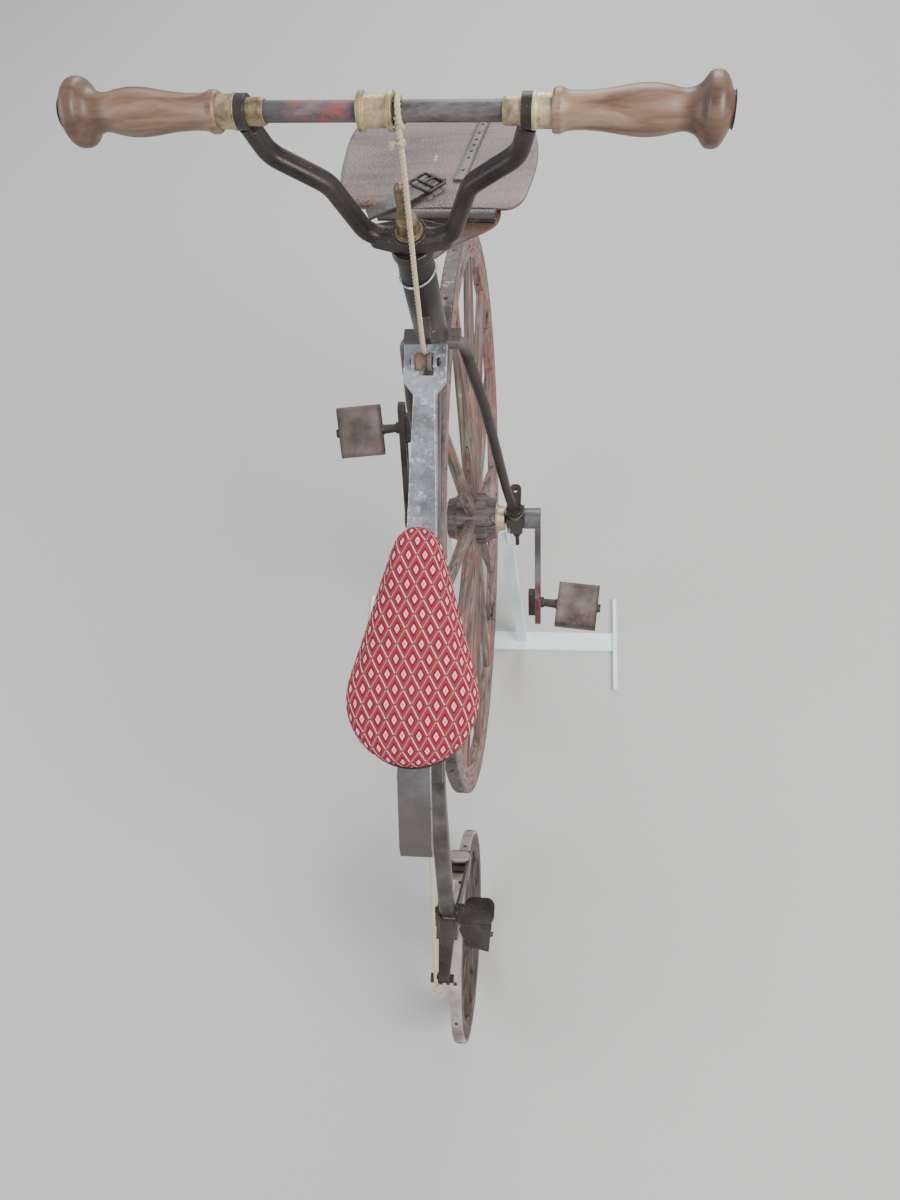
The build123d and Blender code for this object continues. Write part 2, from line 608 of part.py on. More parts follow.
def make_spring():
    path = bent([(0, y, z) for y, z in SPRING_POINTS], SPRING_BENDS)
    leaf = swept(path, Rectangle(60, SPRING_T))
    plan = [(w, y) for y, w in SPRING_PLAN] + [(-w, y) for y, w in reversed(SPRING_PLAN)]
    leaf = leaf & extrude(Pos(0, 0, FRONT_R) * make_face(Polyline(*plan, close=True)), FRONT_R * 2)
    leaf = leaf - block((-SLOT_W / 2, SLOT_W / 2), SLOT_Y, (TOP_Z + 60, TOP_Z + 120))
    y, z = PULLEY_Y, pulley_z()
    slope = degrees(atan2(SPRING_POINTS[0][1] - SPRING_POINTS[1][1], SPRING_POINTS[0][0] - SPRING_POINTS[1][0]))
    for sign in (1, -1):
        ear = Pos(sign * (SLOT_W / 2 + 2), y, z - 3) * Rot(slope, 0, 0) * Box(4, 15, 14)
        leaf = leaf + ear
    leaf = leaf - cyl_x(PULLEY_PIN_R + SEAT_FIT, -40, 40, y, z)
    save("spring", leaf)
    groove = turned(
        [(-PULLEY_W / 2, PULLEY_PIN_R + SEAT_FIT), (-PULLEY_W / 2, PULLEY_R), (-5, PULLEY_R), (-2.5, PULLEY_R - 4),
         (2.5, PULLEY_R - 4), (5, PULLEY_R), (PULLEY_W / 2, PULLEY_R), (PULLEY_W / 2, PULLEY_PIN_R + SEAT_FIT)]
    )
    save("cord_pulley", Pos(0, y, z) * groove)
    reach = SLOT_W / 2 + 6
    pin = cyl_x(PULLEY_PIN_R, -reach, reach) + cyl_x(4.4, reach - 1.5, reach + 2)
    save("pulley_pin", Pos(0, y, z) * pin)


def saddle_outline(inset):
    """Egg-shaped plan, nose forward, along local Y, about the middle of its length."""
    front, back = SADDLE_Y[1], SADDLE_Y[0]
    half = (front - back) / 2 / cos(radians(SADDLE_SLOPE))
    nose = SADDLE_NOSE_R - inset
    rear = SADDLE_REAR_R - inset
    nose_y = half - SADDLE_NOSE_R
    rear_y = -half + SADDLE_REAR_R
    middle = Pos(0, half - SADDLE_MID_AT) * Circle(SADDLE_MID_R - inset)
    return make_hull((Pos(0, nose_y) * Circle(nose) + middle + Pos(0, rear_y) * Circle(rear)).edges())


SADDLE_SLOPE = degrees(
    atan2(SPRING_POINTS[3][1] - SPRING_POINTS[4][1], SPRING_POINTS[3][0] - SPRING_POINTS[4][0])
)


def spring_frame(y, lift):
    """A place over the spring's straight run, tilted with it, lift above its middle plane."""
    (y0, z0), (y1, z1) = SPRING_POINTS[3:5]
    z = z0 + (y - y0) * (z1 - z0) / (y1 - y0)
    return Pos(0, y, z) * Rot(SADDLE_SLOPE, 0, 0) * Pos(0, 0, lift)


def make_saddle():
    middle = sum(SADDLE_Y) / 2
    base_low = SPRING_T / 2 + SPACER_T
    place = spring_frame(middle, base_low)
    base = extrude(saddle_outline(8), BASE_T)
    save("saddle_base", place * base)
    cushion = extrude(saddle_outline(0), SADDLE_T)
    cushion = fillet(cushion.edges().group_by(Axis.Z)[-1], 13)
    cushion = fillet(cushion.edges().group_by(Axis.Z)[0], 5)
    save("saddle", place * Pos(0, 0, BASE_T + REST_GAP) * cushion)
    for name, y in (("front", -372.0), ("rear", -520.0)):
        clip = block((-16, 16), (-14, 14), (0, SPACER_T))
        save(f"saddle_clip_{name}", spring_frame(y, SPRING_T / 2) * clip)


def make_spring_stay():
    """A bent flat bar, bolted along the top of the backbone, that carries the spring."""
    slope = radians(40)
    reach = FRONT_R + WHEEL_GAP + BACKBONE_T / 2
    touch = (-reach * sin(slope), HUB_Z + reach * cos(slope))
    t = 7.0

    def on_backbone(y):
        z = touch[1] + (y - touch[0]) * sin(slope) / cos(slope)
        lift = BACKBONE_T / 2 + t / 2
        return y - lift * sin(slope), z + lift * cos(slope)

    low, knee = on_backbone(-528), on_backbone(-470)
    top = spring_frame(-447, -SPRING_T / 2 - t / 2).position
    end = spring_frame(-405, -SPRING_T / 2 - t / 2).position
    points = [low, knee, (top.Y, top.Z), (end.Y, end.Z)]
    path = bent([(0, y, z) for y, z in points], (14, 14))
    save("spring_stay", swept(path, Rectangle(20, t)))


# Rear fork and brake
def make_rear_fork():
    top = REAR_CROWN_LOW + REAR_CROWN_T
    outer = REAR_LEG_X + REAR_LEG_T
    crown = block((-outer, outer), (-REAR_LEG_W / 2, REAR_LEG_W / 2), (REAR_CROWN_LOW, top))
    crown = fillet(crown.edges().filter_by(Axis.Y).sort_by(Axis.Z)[-2:], 12)
    fork = crown
    for sign in (1, -1):
        leg = block((REAR_LEG_X, outer), (-REAR_LEG_W / 2, REAR_LEG_W / 2), (REAR_R, REAR_CROWN_LOW + 5))
        eye = cyl_x(15, REAR_LEG_X, outer, 0, REAR_R)
        side = (leg + eye) - cyl_x(REAR_AXLE_R + SEAT_FIT, 0, 60, 0, REAR_R)
        fork = fork + (side if sign > 0 else side.mirror(Plane.YZ))
    save("rear_fork", Pos(0, -WHEELBASE, 0) * fork)


def make_brake():
    cheek_in = BACKBONE_W / 2 + REST_GAP
    cheek_out = cheek_in + LEVER_CHEEK_T
    pin = (-WHEELBASE, LEVER_Z)
    a = radians(SHOE_ANGLE)
    shoe_mid = REAR_R + SHOE_GAP + SHOE_T / 2
    holder = REAR_R + SHOE_GAP + SHOE_T + 3
    foot = (-WHEELBASE + holder * sin(a), REAR_R + holder * cos(a))

    def bar(start, stop, w0, w1):
        """A tapered flat strip in side view between two places."""
        length = hypot(stop[0] - start[0], stop[1] - start[1])
        turn = degrees(atan2(stop[1] - start[1], stop[0] - start[0]))
        strip = make_face(Polyline((0, -w0 / 2), (length, -w1 / 2), (length, w1 / 2), (0, w0 / 2), close=True))
        flat = Plane(origin=(cheek_in, start[0], start[1]), x_dir=(0, 1, 0), z_dir=(1, 0, 0))
        return extrude(flat * Rot(0, 0, turn) * strip, LEVER_CHEEK_T)

    rear_knee = (pin[0] - 40, pin[1] - 4)
    cheek = cyl_x(13, cheek_in, cheek_out, *pin) + bar(pin, foot, 22, 14) + bar(pin, rear_knee, 22, 10)
    cheek = cheek - cyl_x(LEVER_PIN_R + SEAT_FIT, 0, 60, *pin)
    lever = cheek + cheek.mirror(Plane.YZ)
    # the rear arm is one flat strip that narrows towards the cord's end
    w0, w1 = LEVER_ARM_W
    near = -WHEELBASE - 13.5
    far = ROLLER_AT[0] - 4
    arm = make_face(Polyline((-w0 / 2, near), (w0 / 2, near), (w1 / 2, far), (-w1 / 2, far), close=True))
    drop = degrees(atan2(LEVER_Z - ROLLER_AT[1] - 9, near - ROLLER_AT[0]))
    arm = Pos(0, near, LEVER_Z - 2) * Rot(drop, 0, 0) * Pos(0, -near, 0) * extrude(arm, 6)
    clip = block((-cheek_out, cheek_out), (near - 16, near + 1), (LEVER_Z - 6, LEVER_Z + 4))
    end = block((-7.5, 7.5), (ROLLER_AT[0] - 9, ROLLER_AT[0] + 9), (ROLLER_AT[1] - 9, ROLLER_AT[1] + 9))
    end = fillet(end.edges().filter_by(Axis.X), 8)
    lever = lever + arm + clip + end
    lever = lever - cyl_x(3.5 + SEAT_FIT, -60, 60, *ROLLER_AT)
    lever = lever - Pos(0, ROLLER_AT[0] - 6.5, 0) * block((-CORD_R - 0.3, CORD_R + 0.3), (-20, 0), (400, 600))
    plate = Pos(0, foot[0], foot[1]) * Rot(-SHOE_ANGLE, 0, 0) * Box(2 * cheek_out, SHOE_L - 6, 6)
    below = REAR_AXLE * Rot(-SHOE_ANGLE, 0, 0) * Pos(0, 0, REAR_R + SHOE_GAP + SHOE_T - 20) * Box(60, 60, 40)
    lever = lever + plate - below
    save("brake_lever", lever)
    shoe = Pos(0, 0, shoe_mid) * Box(SHOE_W, SHOE_L, SHOE_T)
    hollow = cyl_x(REAR_R + SHOE_GAP, -40, 40)
    shoe = Rot(-SHOE_ANGLE, 0, 0) * shoe - hollow
    save("brake_shoe", REAR_AXLE * shoe)
    step_x = cheek_out + REST_GAP
    save("brake_pin", cyl_x(LEVER_PIN_R, -cheek_out - 6, step_x + 10, *pin))
    left, right = ROLLER_AT[0], ROLLER_AT[1]
    roller = cyl_x(3.5, -20, 13) + cyl_x(ROLLER_R, -20, -7.8) + cyl_x(ROLLER_R - 1, 7.8, 13)
    save("cord_roller", Pos(0, left, right) * roller)


def make_step():
    """A bent plate for the rider's foot, on the right end of the lever's pin."""
    cheek_out = BACKBONE_W / 2 + REST_GAP + LEVER_CHEEK_T
    x0 = cheek_out + REST_GAP
    t = 4.0
    hub = cyl_x(11, x0, x0 + 8) - cyl_x(LEVER_PIN_R + SEAT_FIT, 0, 80)
    tab = Pos(x0 + 31, 1, 0) * RectangleRounded(44, 38, 12) + Pos(x0 + 20, -4) * Rectangle(40, 24)
    tab = extrude(tab, t)
    panel = make_face(Polyline((x0 + 6, -2), (x0 + 50, -2), (x0 + 46, -44), (x0 + 14, -38), (x0 + 2, -14), close=True))
    panel = extrude(panel, t)
    plate = Pos(0, -12, 0) * (Rot(-8, 0, 0) * Pos(0, 12, 0) * tab) + Pos(0, -12, 0) * Rot(26, 0, 0) * panel
    step = hub + Pos(0, 0, 8) * plate
    save("step", Pos(0, -WHEELBASE, LEVER_Z) * step)


# Cord, held along its whole way
CORD_FRONT = ((14, -126.5, 1370), (14, -126.5, 1345), (8, -126, 1235), (-0.5, -125.2, 1080))
CORD_REAR = (
    (-0.5, -125.2, 1079.5), (-0.5, -125.5, 1060), (-15.5, -141, 1039), (-16.5, -158, 1014), (-16.5, -194, 976),
    (-16.5, -262, 930), (-13, -756, 485),
)


def tube(points, share=0.4):
    vectors = [Vector(*p) for p in points]
    radii = []
    for a, b, c in zip(vectors, vectors[1:], vectors[2:]):
        turn = radians((b - a).get_angle(c - b))
        run = min((b - a).length, (c - b).length)
        radii.append(share * run * cos(turn / 2) / sin(turn / 2))
    path = FilletPolyline(*vectors, radius=radii)
    return sweep(Plane(origin=path @ 0, z_dir=path % 0) * Circle(CORD_R), path=path)


def make_cord():
    save("brake_cord_front", tube(CORD_FRONT))
    save("brake_cord_rear", tube(CORD_REAR))


# Stand
def make_stand():
    reach = TEE_X + TEE_W
    foot = block((-TEE_X, TEE_X), (FOOT_Y - FOOT_W / 2, FOOT_Y + FOOT_W / 2), (0, FOOT_T))
    save("stand_bar", foot)
    tee = block((TEE_X, reach), TEE_Y, (0, TEE_H))
    save("stand_tee_right", tee)
    save("stand_tee_left", tee.mirror(Plane.YZ))
    top_z = HUB_Z - UPRIGHT_TOP_DROP
    outline = make_face(
        Polyline((0, 0), (ANGLE_LEG, 0), (ANGLE_LEG, ANGLE_LEG), (ANGLE_LEG - ANGLE_T, ANGLE_LEG),
                 (ANGLE_LEG - ANGLE_T, ANGLE_T), (0, ANGLE_T), close=True)
    )
    back_y = FOOT_Y - 4
    for side, sign in SIDES.items():
        low = Pos(UPRIGHT_FOOT_X, back_y, FOOT_T) * outline
        high = Pos(UPRIGHT_TOP_X, -ANGLE_LEG / 2, top_z) * outline
        upright = loft([low, high])
        cradle_x = HUB_HALF + (BLOCK_X - HUB_HALF - CRADLE_T) / 2
        half = CRADLE_W / 2
        plate = block((cradle_x, cradle_x + CRADLE_T), (-half, half), (top_z - 30, HUB_Z + 2))
        plate = plate - cyl_x(AXLE_R + REST_GAP, 0, 100, 0, HUB_Z)
        plate = plate - block((0, 100), (-AXLE_R - REST_GAP, AXLE_R + REST_GAP), (HUB_Z, HUB_Z + 20))
        upright = upright + plate
        save(f"stand_upright_{side}", upright if sign > 0 else upright.mirror(Plane.YZ))


# Leather apron
def make_apron():
    half, length = APRON_HALF_W, APRON_LEN
    # straight behind, bowed sides, a flatter rounded front
    side = [(0.95, 0.10), (1.0, 0.45), (0.90, 0.83), (0.50, 0.97), (0.0, 1.0)]
    right = [(half * 0.74, 8)] + [(half * x, 8 + (length - 8) * y) for x, y in side]
    left = [(-x, y) for x, y in reversed(right[:-1])]
    outline = Polyline(left[-1], right[0]) + Spline(*right, *left)
    panel = extrude(make_face(Wire(outline.edges())), APRON_T)
    y, z = APRON_REAR
    panel = Pos(APRON_X, y - 12, z) * Rot(0, 0, BAR_TURN) * Rot(-APRON_SLOPE, 0, 0) * panel
    half = TONGUE_W / 2
    tongue = make_face(Polyline((-half, 6), (half, 6), (30, -100), (-30, -100), close=True))
    tongue = Pos(0, y, z - 2) * Rot(8, 0, 0) * extrude(tongue, APRON_T)
    apron = panel + tongue
    apron = apron - STEER * Pos(0, 0, CROWN_TOP + 86) * Cylinder(HEAD_R + REST_GAP, 300)
    save("leather_apron", apron)


make_front_wheel()
make_cranks()
make_rear_wheel()
make_fork()
make_handlebar()
make_backbone()
make_spring()
make_saddle()
make_spring_stay()
make_rear_fork()
make_brake()
make_step()
make_cord()
make_stand()
make_apron()
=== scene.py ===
import bpy
import math
import random
from mathutils import Matrix, Vector, geometry


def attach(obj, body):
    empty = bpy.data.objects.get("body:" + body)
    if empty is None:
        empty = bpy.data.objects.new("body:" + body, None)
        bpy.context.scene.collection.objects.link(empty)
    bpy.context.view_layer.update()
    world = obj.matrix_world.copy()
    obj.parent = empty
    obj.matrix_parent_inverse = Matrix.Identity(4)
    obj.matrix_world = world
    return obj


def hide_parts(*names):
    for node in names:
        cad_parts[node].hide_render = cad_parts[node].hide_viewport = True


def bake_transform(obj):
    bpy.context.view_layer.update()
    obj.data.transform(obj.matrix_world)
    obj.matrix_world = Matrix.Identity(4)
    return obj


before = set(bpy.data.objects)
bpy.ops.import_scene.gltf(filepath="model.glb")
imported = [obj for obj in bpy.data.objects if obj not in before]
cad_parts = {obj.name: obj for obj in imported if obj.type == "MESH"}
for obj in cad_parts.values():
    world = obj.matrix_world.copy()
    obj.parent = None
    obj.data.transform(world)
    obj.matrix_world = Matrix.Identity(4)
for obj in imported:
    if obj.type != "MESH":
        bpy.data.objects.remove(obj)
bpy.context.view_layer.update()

# Metres, in the CAD's frame: +X is the rider's right, +Y forward, +Z up.
SHIFT = 0.183                      # the CAD's origin is this far behind the front axle
WHEELBASE = 0.668
FRONT_R, REAR_R = 0.480, 0.178
HUB = Vector((0.0, SHIFT, 0.490))
REAR_HUB = Vector((0.0, SHIFT - WHEELBASE, REAR_R))
BAR_TURN = -3.5                    # how far the handlebar and the apron are turned, in degrees
CAMERA_PLACE = Vector((0.1637, SHIFT - 0.8312, 1.900))
CAMERA_RIGHT = Vector((0.99225, 0.06524, -0.10579)).normalized()
CAMERA_FORWARD = Vector((-0.12355, 0.42552, -0.89647)).normalized()
LENS, SENSOR = 27.57, 36.0         # millimetres
STUDIO_MIDDLE = Vector((0, 0, 0.6))
FLOOR_HALF = 14.0


def posed(place, *turns):
    """A matrix that moves to a place what (axis, degrees) pairs have turned, the last pair first."""
    matrix = Matrix.Translation(place)
    for axis, degrees in turns:
        matrix = matrix @ Matrix.Rotation(math.radians(degrees), 4, axis)
    return matrix


STEER = posed(HUB, ("X", 7.0))     # the steering axis is its local Z, from the front axle
BAR = STEER @ posed((0, 0, 0.887), ("Z", BAR_TURN))


def add_camera():
    data = bpy.data.cameras.new("camera")
    data.lens = LENS
    data.sensor_width = SENSOR
    data.sensor_height = SENSOR
    data.sensor_fit = "VERTICAL"
    camera = bpy.data.objects.new("camera", data)
    up = CAMERA_RIGHT.cross(CAMERA_FORWARD).normalized()
    turn = Matrix((CAMERA_RIGHT, up, -CAMERA_FORWARD)).transposed()
    camera.matrix_world = Matrix.Translation(CAMERA_PLACE) @ turn.to_4x4()
    bpy.context.collection.objects.link(camera)
    bpy.context.scene.camera = camera


def add_light(name, place, power, size, colour=(1, 1, 1)):
    """A round soft light aimed at the studio's middle."""
    data = bpy.data.lights.new(name, "AREA")
    data.energy = power
    data.color = colour
    data.shape = "DISK"
    data.size = size
    light = bpy.data.objects.new(name, data)
    direction = STUDIO_MIDDLE - Vector(place)
    light.matrix_world = Matrix.Translation(place) @ direction.to_track_quat("-Z", "Y").to_matrix().to_4x4()
    bpy.context.collection.objects.link(light)


def add_studio():
    world = bpy.data.worlds.new("studio")
    bpy.context.scene.world = world
    world.use_nodes = True
    background = world.node_tree.nodes["Background"]
    background.inputs["Color"].default_value = (0.93, 0.95, 1.0, 1)
    background.inputs["Strength"].default_value = 0.62
    add_light("key", (2.2, -1.2, 3.4), 155, 2.0, (1.0, 0.98, 0.95))
    add_light("fill", (-3.0, -0.6, 2.2), 62, 2.6, (0.93, 0.96, 1.0))
    add_light("back", (0.4, 3.4, 2.8), 85, 2.0)
    mesh = bpy.data.meshes.new("floor")
    corners = [(FLOOR_HALF * x, FLOOR_HALF * y, 0) for x, y in ((-1, -1), (1, -1), (1, 1), (-1, 1))]
    mesh.from_pydata(corners, [], [(0, 1, 2, 3)])
    floor = bpy.data.objects.new("floor", mesh)
    bpy.context.collection.objects.link(floor)
    net = Net("floor_paint")
    net.bsdf.inputs["Base Color"].default_value = (0.53, 0.525, 0.51, 1)
    net.bsdf.inputs["Roughness"].default_value = 0.75
    mesh.materials.append(net.mat)


class Net:
    """A material's node tree, with one short call for each kind of node."""

    def __init__(self, name):
        self.mat = bpy.data.materials.new(name)
        self.mat.use_nodes = True
        self.tree = self.mat.node_tree
        self.bsdf = self.tree.nodes["Principled BSDF"]
        self.where = self.tree.nodes.new("ShaderNodeTexCoord").outputs["Object"]

    def put(self, socket, value):
        if isinstance(value, bpy.types.NodeSocket):
            self.tree.links.new(value, socket)
        elif isinstance(value, (tuple, list)) and socket.type == "RGBA" and len(value) == 3:
            socket.default_value = (*value, 1)
        else:
            socket.default_value = value

    def make(self, kind, settings, inputs, output=0):
        node = self.tree.nodes.new(kind)
        for key, value in settings.items():
            setattr(node, key, value)
        for key, value in inputs.items():
            self.put(node.inputs[key], value)
        return node.outputs[output]

    def math(self, op, a, b=0.0, clamp=False):
        return self.make("ShaderNodeMath", {"operation": op, "use_clamp": clamp}, {0: a, 1: b})

    def times(self, a, b, clamp=False):
        return self.math("MULTIPLY", a, b, clamp)

    def plus(self, a, b):
        return self.math("ADD", a, b)

    def vector(self, op, a, b=(0, 0, 0), output="Vector"):
        return self.make("ShaderNodeVectorMath", {"operation": op}, {0: a, 1: b}, output)

    def apart(self, where):
        """The X, Y and Z of a vector."""
        node = self.tree.nodes.new("ShaderNodeSeparateXYZ")
        self.put(node.inputs[0], where)
        return node.outputs

    def scaled(self, where, scale, shift=(0, 0, 0)):
        return self.make("ShaderNodeMapping", {}, {"Vector": where, "Scale": scale, "Location": shift})

    def noise(self, scale, detail, rough=0.55, warp=0.0, where=None):
        where = self.where if where is None else where
        inputs = {"Vector": where, "Scale": scale, "Detail": detail, "Roughness": rough, "Distortion": warp}
        return self.make("ShaderNodeTexNoise", {}, inputs)

    def cells(self, scale, feature="F1"):
        inputs = {"Vector": self.where, "Scale": scale}
        return self.make("ShaderNodeTexVoronoi", {"feature": feature}, inputs, "Distance")

    def span(self, value, low, high, to_low=0.0, to_high=1.0):
        inputs = {"Value": value, "From Min": low, "From Max": high, "To Min": to_low, "To Max": to_high}
        return self.make("ShaderNodeMapRange", {"clamp": True}, inputs)

    def mix(self, share, a, b, blend="MIX"):
        node = self.tree.nodes.new("ShaderNodeMix")
        node.data_type = "RGBA"
        node.blend_type = blend
        self.put(node.inputs["Factor"], share)
        self.put(node.inputs["A"], a)
        self.put(node.inputs["B"], b)
        return node.outputs["Result"]

    def ramp(self, value, stops):
        node = self.tree.nodes.new("ShaderNodeValToRGB")
        self.put(node.inputs["Fac"], value)
        points = node.color_ramp.elements
        while len(points) < len(stops):
            points.new(0.5)
        for point, (place, colour) in zip(points, stops):
            point.position = place
            point.color = (*colour, 1)
        return node.outputs["Color"]

    def bump(self, height, distance, normal=None):
        inputs = {"Height": height, "Distance": distance, "Strength": 1.0}
        if normal is not None:
            inputs["Normal"] = normal
        return self.make("ShaderNodeBump", {}, inputs, "Normal")

    def round_edges(self, radius):
        return self.make("ShaderNodeBevel", {"samples": 4}, {"Radius": radius})

    def edges(self, radius):
        """1 on sharp edges and 0 on flats, from how far the bevelled normal turns."""
        bevelled = self.round_edges(radius)
        plain = self.make("ShaderNodeNewGeometry", {}, {}, "Normal")
        along = self.vector("DOT_PRODUCT", bevelled, plain, "Value")
        return self.span(along, 0.995, 0.85)

    def about_x(self, centre):
        """(along X, radius, angle in turns) about an axle through the centre."""
        x, y, z = self.apart(self.vector("SUBTRACT", self.where, centre))
        radius = self.math("SQRT", self.plus(self.times(y, y), self.times(z, z)))
        angle = self.math("DIVIDE", self.math("ARCTAN2", z, y), 2 * math.pi)
        return x, radius, angle

    def combine(self, x, y, z):
        return self.make("ShaderNodeCombineXYZ", {}, {0: x, 1: y, 2: z})

    def finish(self, colour, rough, normal=None, **fixed):
        self.put(self.bsdf.inputs["Base Color"], colour)
        self.put(self.bsdf.inputs["Roughness"], rough)
        if normal is not None:
            self.put(self.bsdf.inputs["Normal"], normal)
        for key, value in fixed.items():
            self.bsdf.inputs[key.replace("_", " ")].default_value = value
        return self.mat


def shade(colour, factor, lift=0.0):
    return tuple(min(1.0, factor * c + lift) for c in colour)


def iron(name, dark, light, rust, metal=0.55, rough=(0.34, 0.58), wear=0.5, zone=None, specks=None,
         glints_from=None, grime_and_edge_shade=None):
    """Old wrought iron: mottled, with rust in patches, worn pale edges and pits.

    zone is (height where it starts, height where it is full, colour, how patchy) for a part that
    differs, specks the colour of light specks, which on the spring are painted glints, glints_from
    the height where they start, and grimy the colour of grime and painted shade along the edges.
    """
    net = Net(name)
    broad = net.noise(16.0, 5.0, 0.6)
    fine = net.noise(140.0, 5.0, 0.6)
    colour = net.mix(net.span(broad, 0.35, 0.68), dark, light)
    rusty = net.span(net.noise(38.0, 6.0, 0.7), 0.52, 0.68, 0.0, 0.75)
    colour = net.mix(rusty, colour, rust)
    if zone:
        start, full, tint, patchy = zone
        share = net.span(net.apart(net.where)[2], start, full)
        patch = net.span(net.noise(60.0, 5.0, 0.7), 0.5 * patchy, 0.25 + 0.4 * patchy)
        colour = net.mix(net.times(share, patch), colour, tint)
    # the spring's near-white specks here are painted glints
    if specks:
        cloud = net.noise(26.0, 4.0, 0.6)
        flecks_and_glints = net.times(net.span(fine, 0.53, 0.62), net.span(cloud, 0.44, 0.60))
        # the painted glints start at this height
        if glints_from:
            over = net.span(net.apart(net.where)[2], glints_from - 0.02, glints_from + 0.02)
            flecks_and_glints = net.times(flecks_and_glints, over)
        colour = net.mix(net.times(flecks_and_glints, 0.85), colour, specks)
    edge = net.times(net.edges(0.0014), net.span(fine, 0.35, 0.6, 0.0, wear))
    colour = net.mix(edge, colour, shade(light, 2.4, 0.05))
    # darker edges here: partly grime, partly painted shade on the rounded edges
    if grime_and_edge_shade:
        edge_shade_and_grime = net.times(net.edges(0.010), net.span(fine, 0.20, 0.42))
        colour = net.mix(edge_shade_and_grime, colour, grime_and_edge_shade)
    spots = net.span(net.cells(260.0), 0.05, 0.35)
    height = net.plus(net.times(fine, 0.6), net.times(spots, 0.5))
    normal = net.bump(height, 0.0005, net.round_edges(0.0012))
    return net.finish(colour, net.span(broad, 0.3, 0.7, *rough), normal, Metallic=metal)


def brass(name, dark, light):
    """Dull old brass, browned in patches."""
    net = Net(name)
    broad = net.noise(30.0, 5.0, 0.65)
    fine = net.noise(180.0, 4.0, 0.6)
    colour = net.mix(net.span(broad, 0.35, 0.65), dark, light)
    brown = net.span(net.noise(75.0, 5.0, 0.7), 0.54, 0.70, 0.0, 0.7)
    colour = net.mix(brown, colour, (0.10, 0.075, 0.045))
    colour = net.mix(net.times(net.edges(0.0012), 0.6), colour, shade(light, 1.2))
    normal = net.bump(fine, 0.0004, net.round_edges(0.0012))
    return net.finish(colour, net.span(fine, 0.3, 0.7, 0.36, 0.6), normal, Metallic=0.6)


def wheel_wood(name, centre, stretch, tones, red, straw, joints=0):
    """Aged wood of a wheel, its grain running round or outwards, with paint left in streaks."""
    net = Net(name)
    x, radius, angle = net.about_x(centre)
    along = net.combine(*(net.times(value, size) for value, size in zip((x, radius, angle), stretch)))
    grain = net.noise(1.0, 8.0, 0.65, 0.4, along)
    broad = net.noise(11.0, 4.0, 0.6)
    colour = net.ramp(grain, tuple(zip((0.30, 0.48, 0.66), tones)))
    paint = net.times(net.span(broad, 0.50, 0.60), net.span(grain, 0.42, 0.58), True)
    colour = net.mix(net.times(paint, red), colour, (0.37, 0.085, 0.068))
    pale = net.span(net.noise(23.0, 4.0, 0.6), 0.60, 0.68)
    pale = net.times(pale, net.span(grain, 0.5, 0.62), True)
    colour = net.mix(net.times(pale, straw), colour, (0.52, 0.40, 0.22))
    rift = net.noise(1.0, 0.0, 0.5, where=net.scaled(along, (0.35, 0.35, 0.35), (3.1, 1.7, 0.4)))
    crack = net.span(net.math("ABSOLUTE", net.math("SUBTRACT", rift, 0.5)), 0.002, 0.010)
    if joints:
        turn = net.math("PINGPONG", net.times(angle, float(joints)), 0.5)
        off = net.times(net.times(turn, 2 * math.pi / joints), radius)
        crack = net.times(crack, net.span(off, 0.0004, 0.0011))
    colour = net.mix(crack, (0.022, 0.015, 0.012), colour)
    height = net.plus(net.times(grain, 0.6), crack)
    normal = net.bump(height, 0.0009, net.round_edges(0.0015))
    return net.finish(colour, net.span(grain, 0.3, 0.7, 0.75, 0.5), normal)


def turned_wood(name):
    """Oiled turned hardwood, its grain along the handlebar."""
    net = Net(name)
    grain = net.noise(1.0, 7.0, 0.62, 0.6, net.scaled(net.where, (9.0, 90.0, 90.0)))
    broad = net.noise(14.0, 3.0, 0.5)
    tones = ((0.32, (0.095, 0.048, 0.028)), (0.50, (0.225, 0.130, 0.080)), (0.68, (0.350, 0.225, 0.150)))
    colour = net.ramp(grain, tones)
    colour = net.mix(net.span(broad, 0.45, 0.70, 0.0, 0.4), colour, (0.105, 0.056, 0.036))
    knob = net.span(net.math("ABSOLUTE", net.apart(net.where)[0]), 0.250, 0.262, 0.0, 0.62)
    colour = net.mix(knob, colour, (0.058, 0.028, 0.019))
    normal = net.bump(grain, 0.0003)
    return net.finish(colour, net.span(grain, 0.3, 0.7, 0.40, 0.52), normal, Coat_Weight=0.10, Coat_Roughness=0.3)


def plain_wood(name, dark, light):
    net = Net(name)
    grain = net.noise(1.0, 6.0, 0.6, where=net.scaled(net.where, (20.0, 160.0, 160.0)))
    colour = net.mix(net.span(grain, 0.35, 0.65), dark, light)
    return net.finish(colour, 0.7, net.bump(grain, 0.0004, net.round_edges(0.0015)))


def painted(name, paint, under, chips):
    net = Net(name)
    fine = net.noise(55.0, 6.0, 0.7)
    broad = net.noise(7.0, 3.0, 0.5)
    colour = net.mix(net.span(broad, 0.3, 0.7, 0.0, 0.35), paint, shade(paint, 0.85))
    colour = net.mix(net.span(fine, chips, chips + 0.03), colour, under)
    normal = net.bump(net.noise(90.0, 3.0, 0.5), 0.0003, net.round_edges(0.001))
    return net.finish(colour, 0.42, normal)


def hemp(name):
    net = Net(name)
    fine = net.noise(900.0, 4.0, 0.7)
    broad = net.noise(40.0, 3.0, 0.5)
    colour = net.mix(net.span(fine, 0.3, 0.7), (0.36, 0.295, 0.19), (0.74, 0.645, 0.465))
    colour = net.mix(net.span(broad, 0.4, 0.7, 0.0, 0.4), colour, (0.40, 0.35, 0.26))
    return net.finish(colour, 0.9, net.bump(fine, 0.0004))


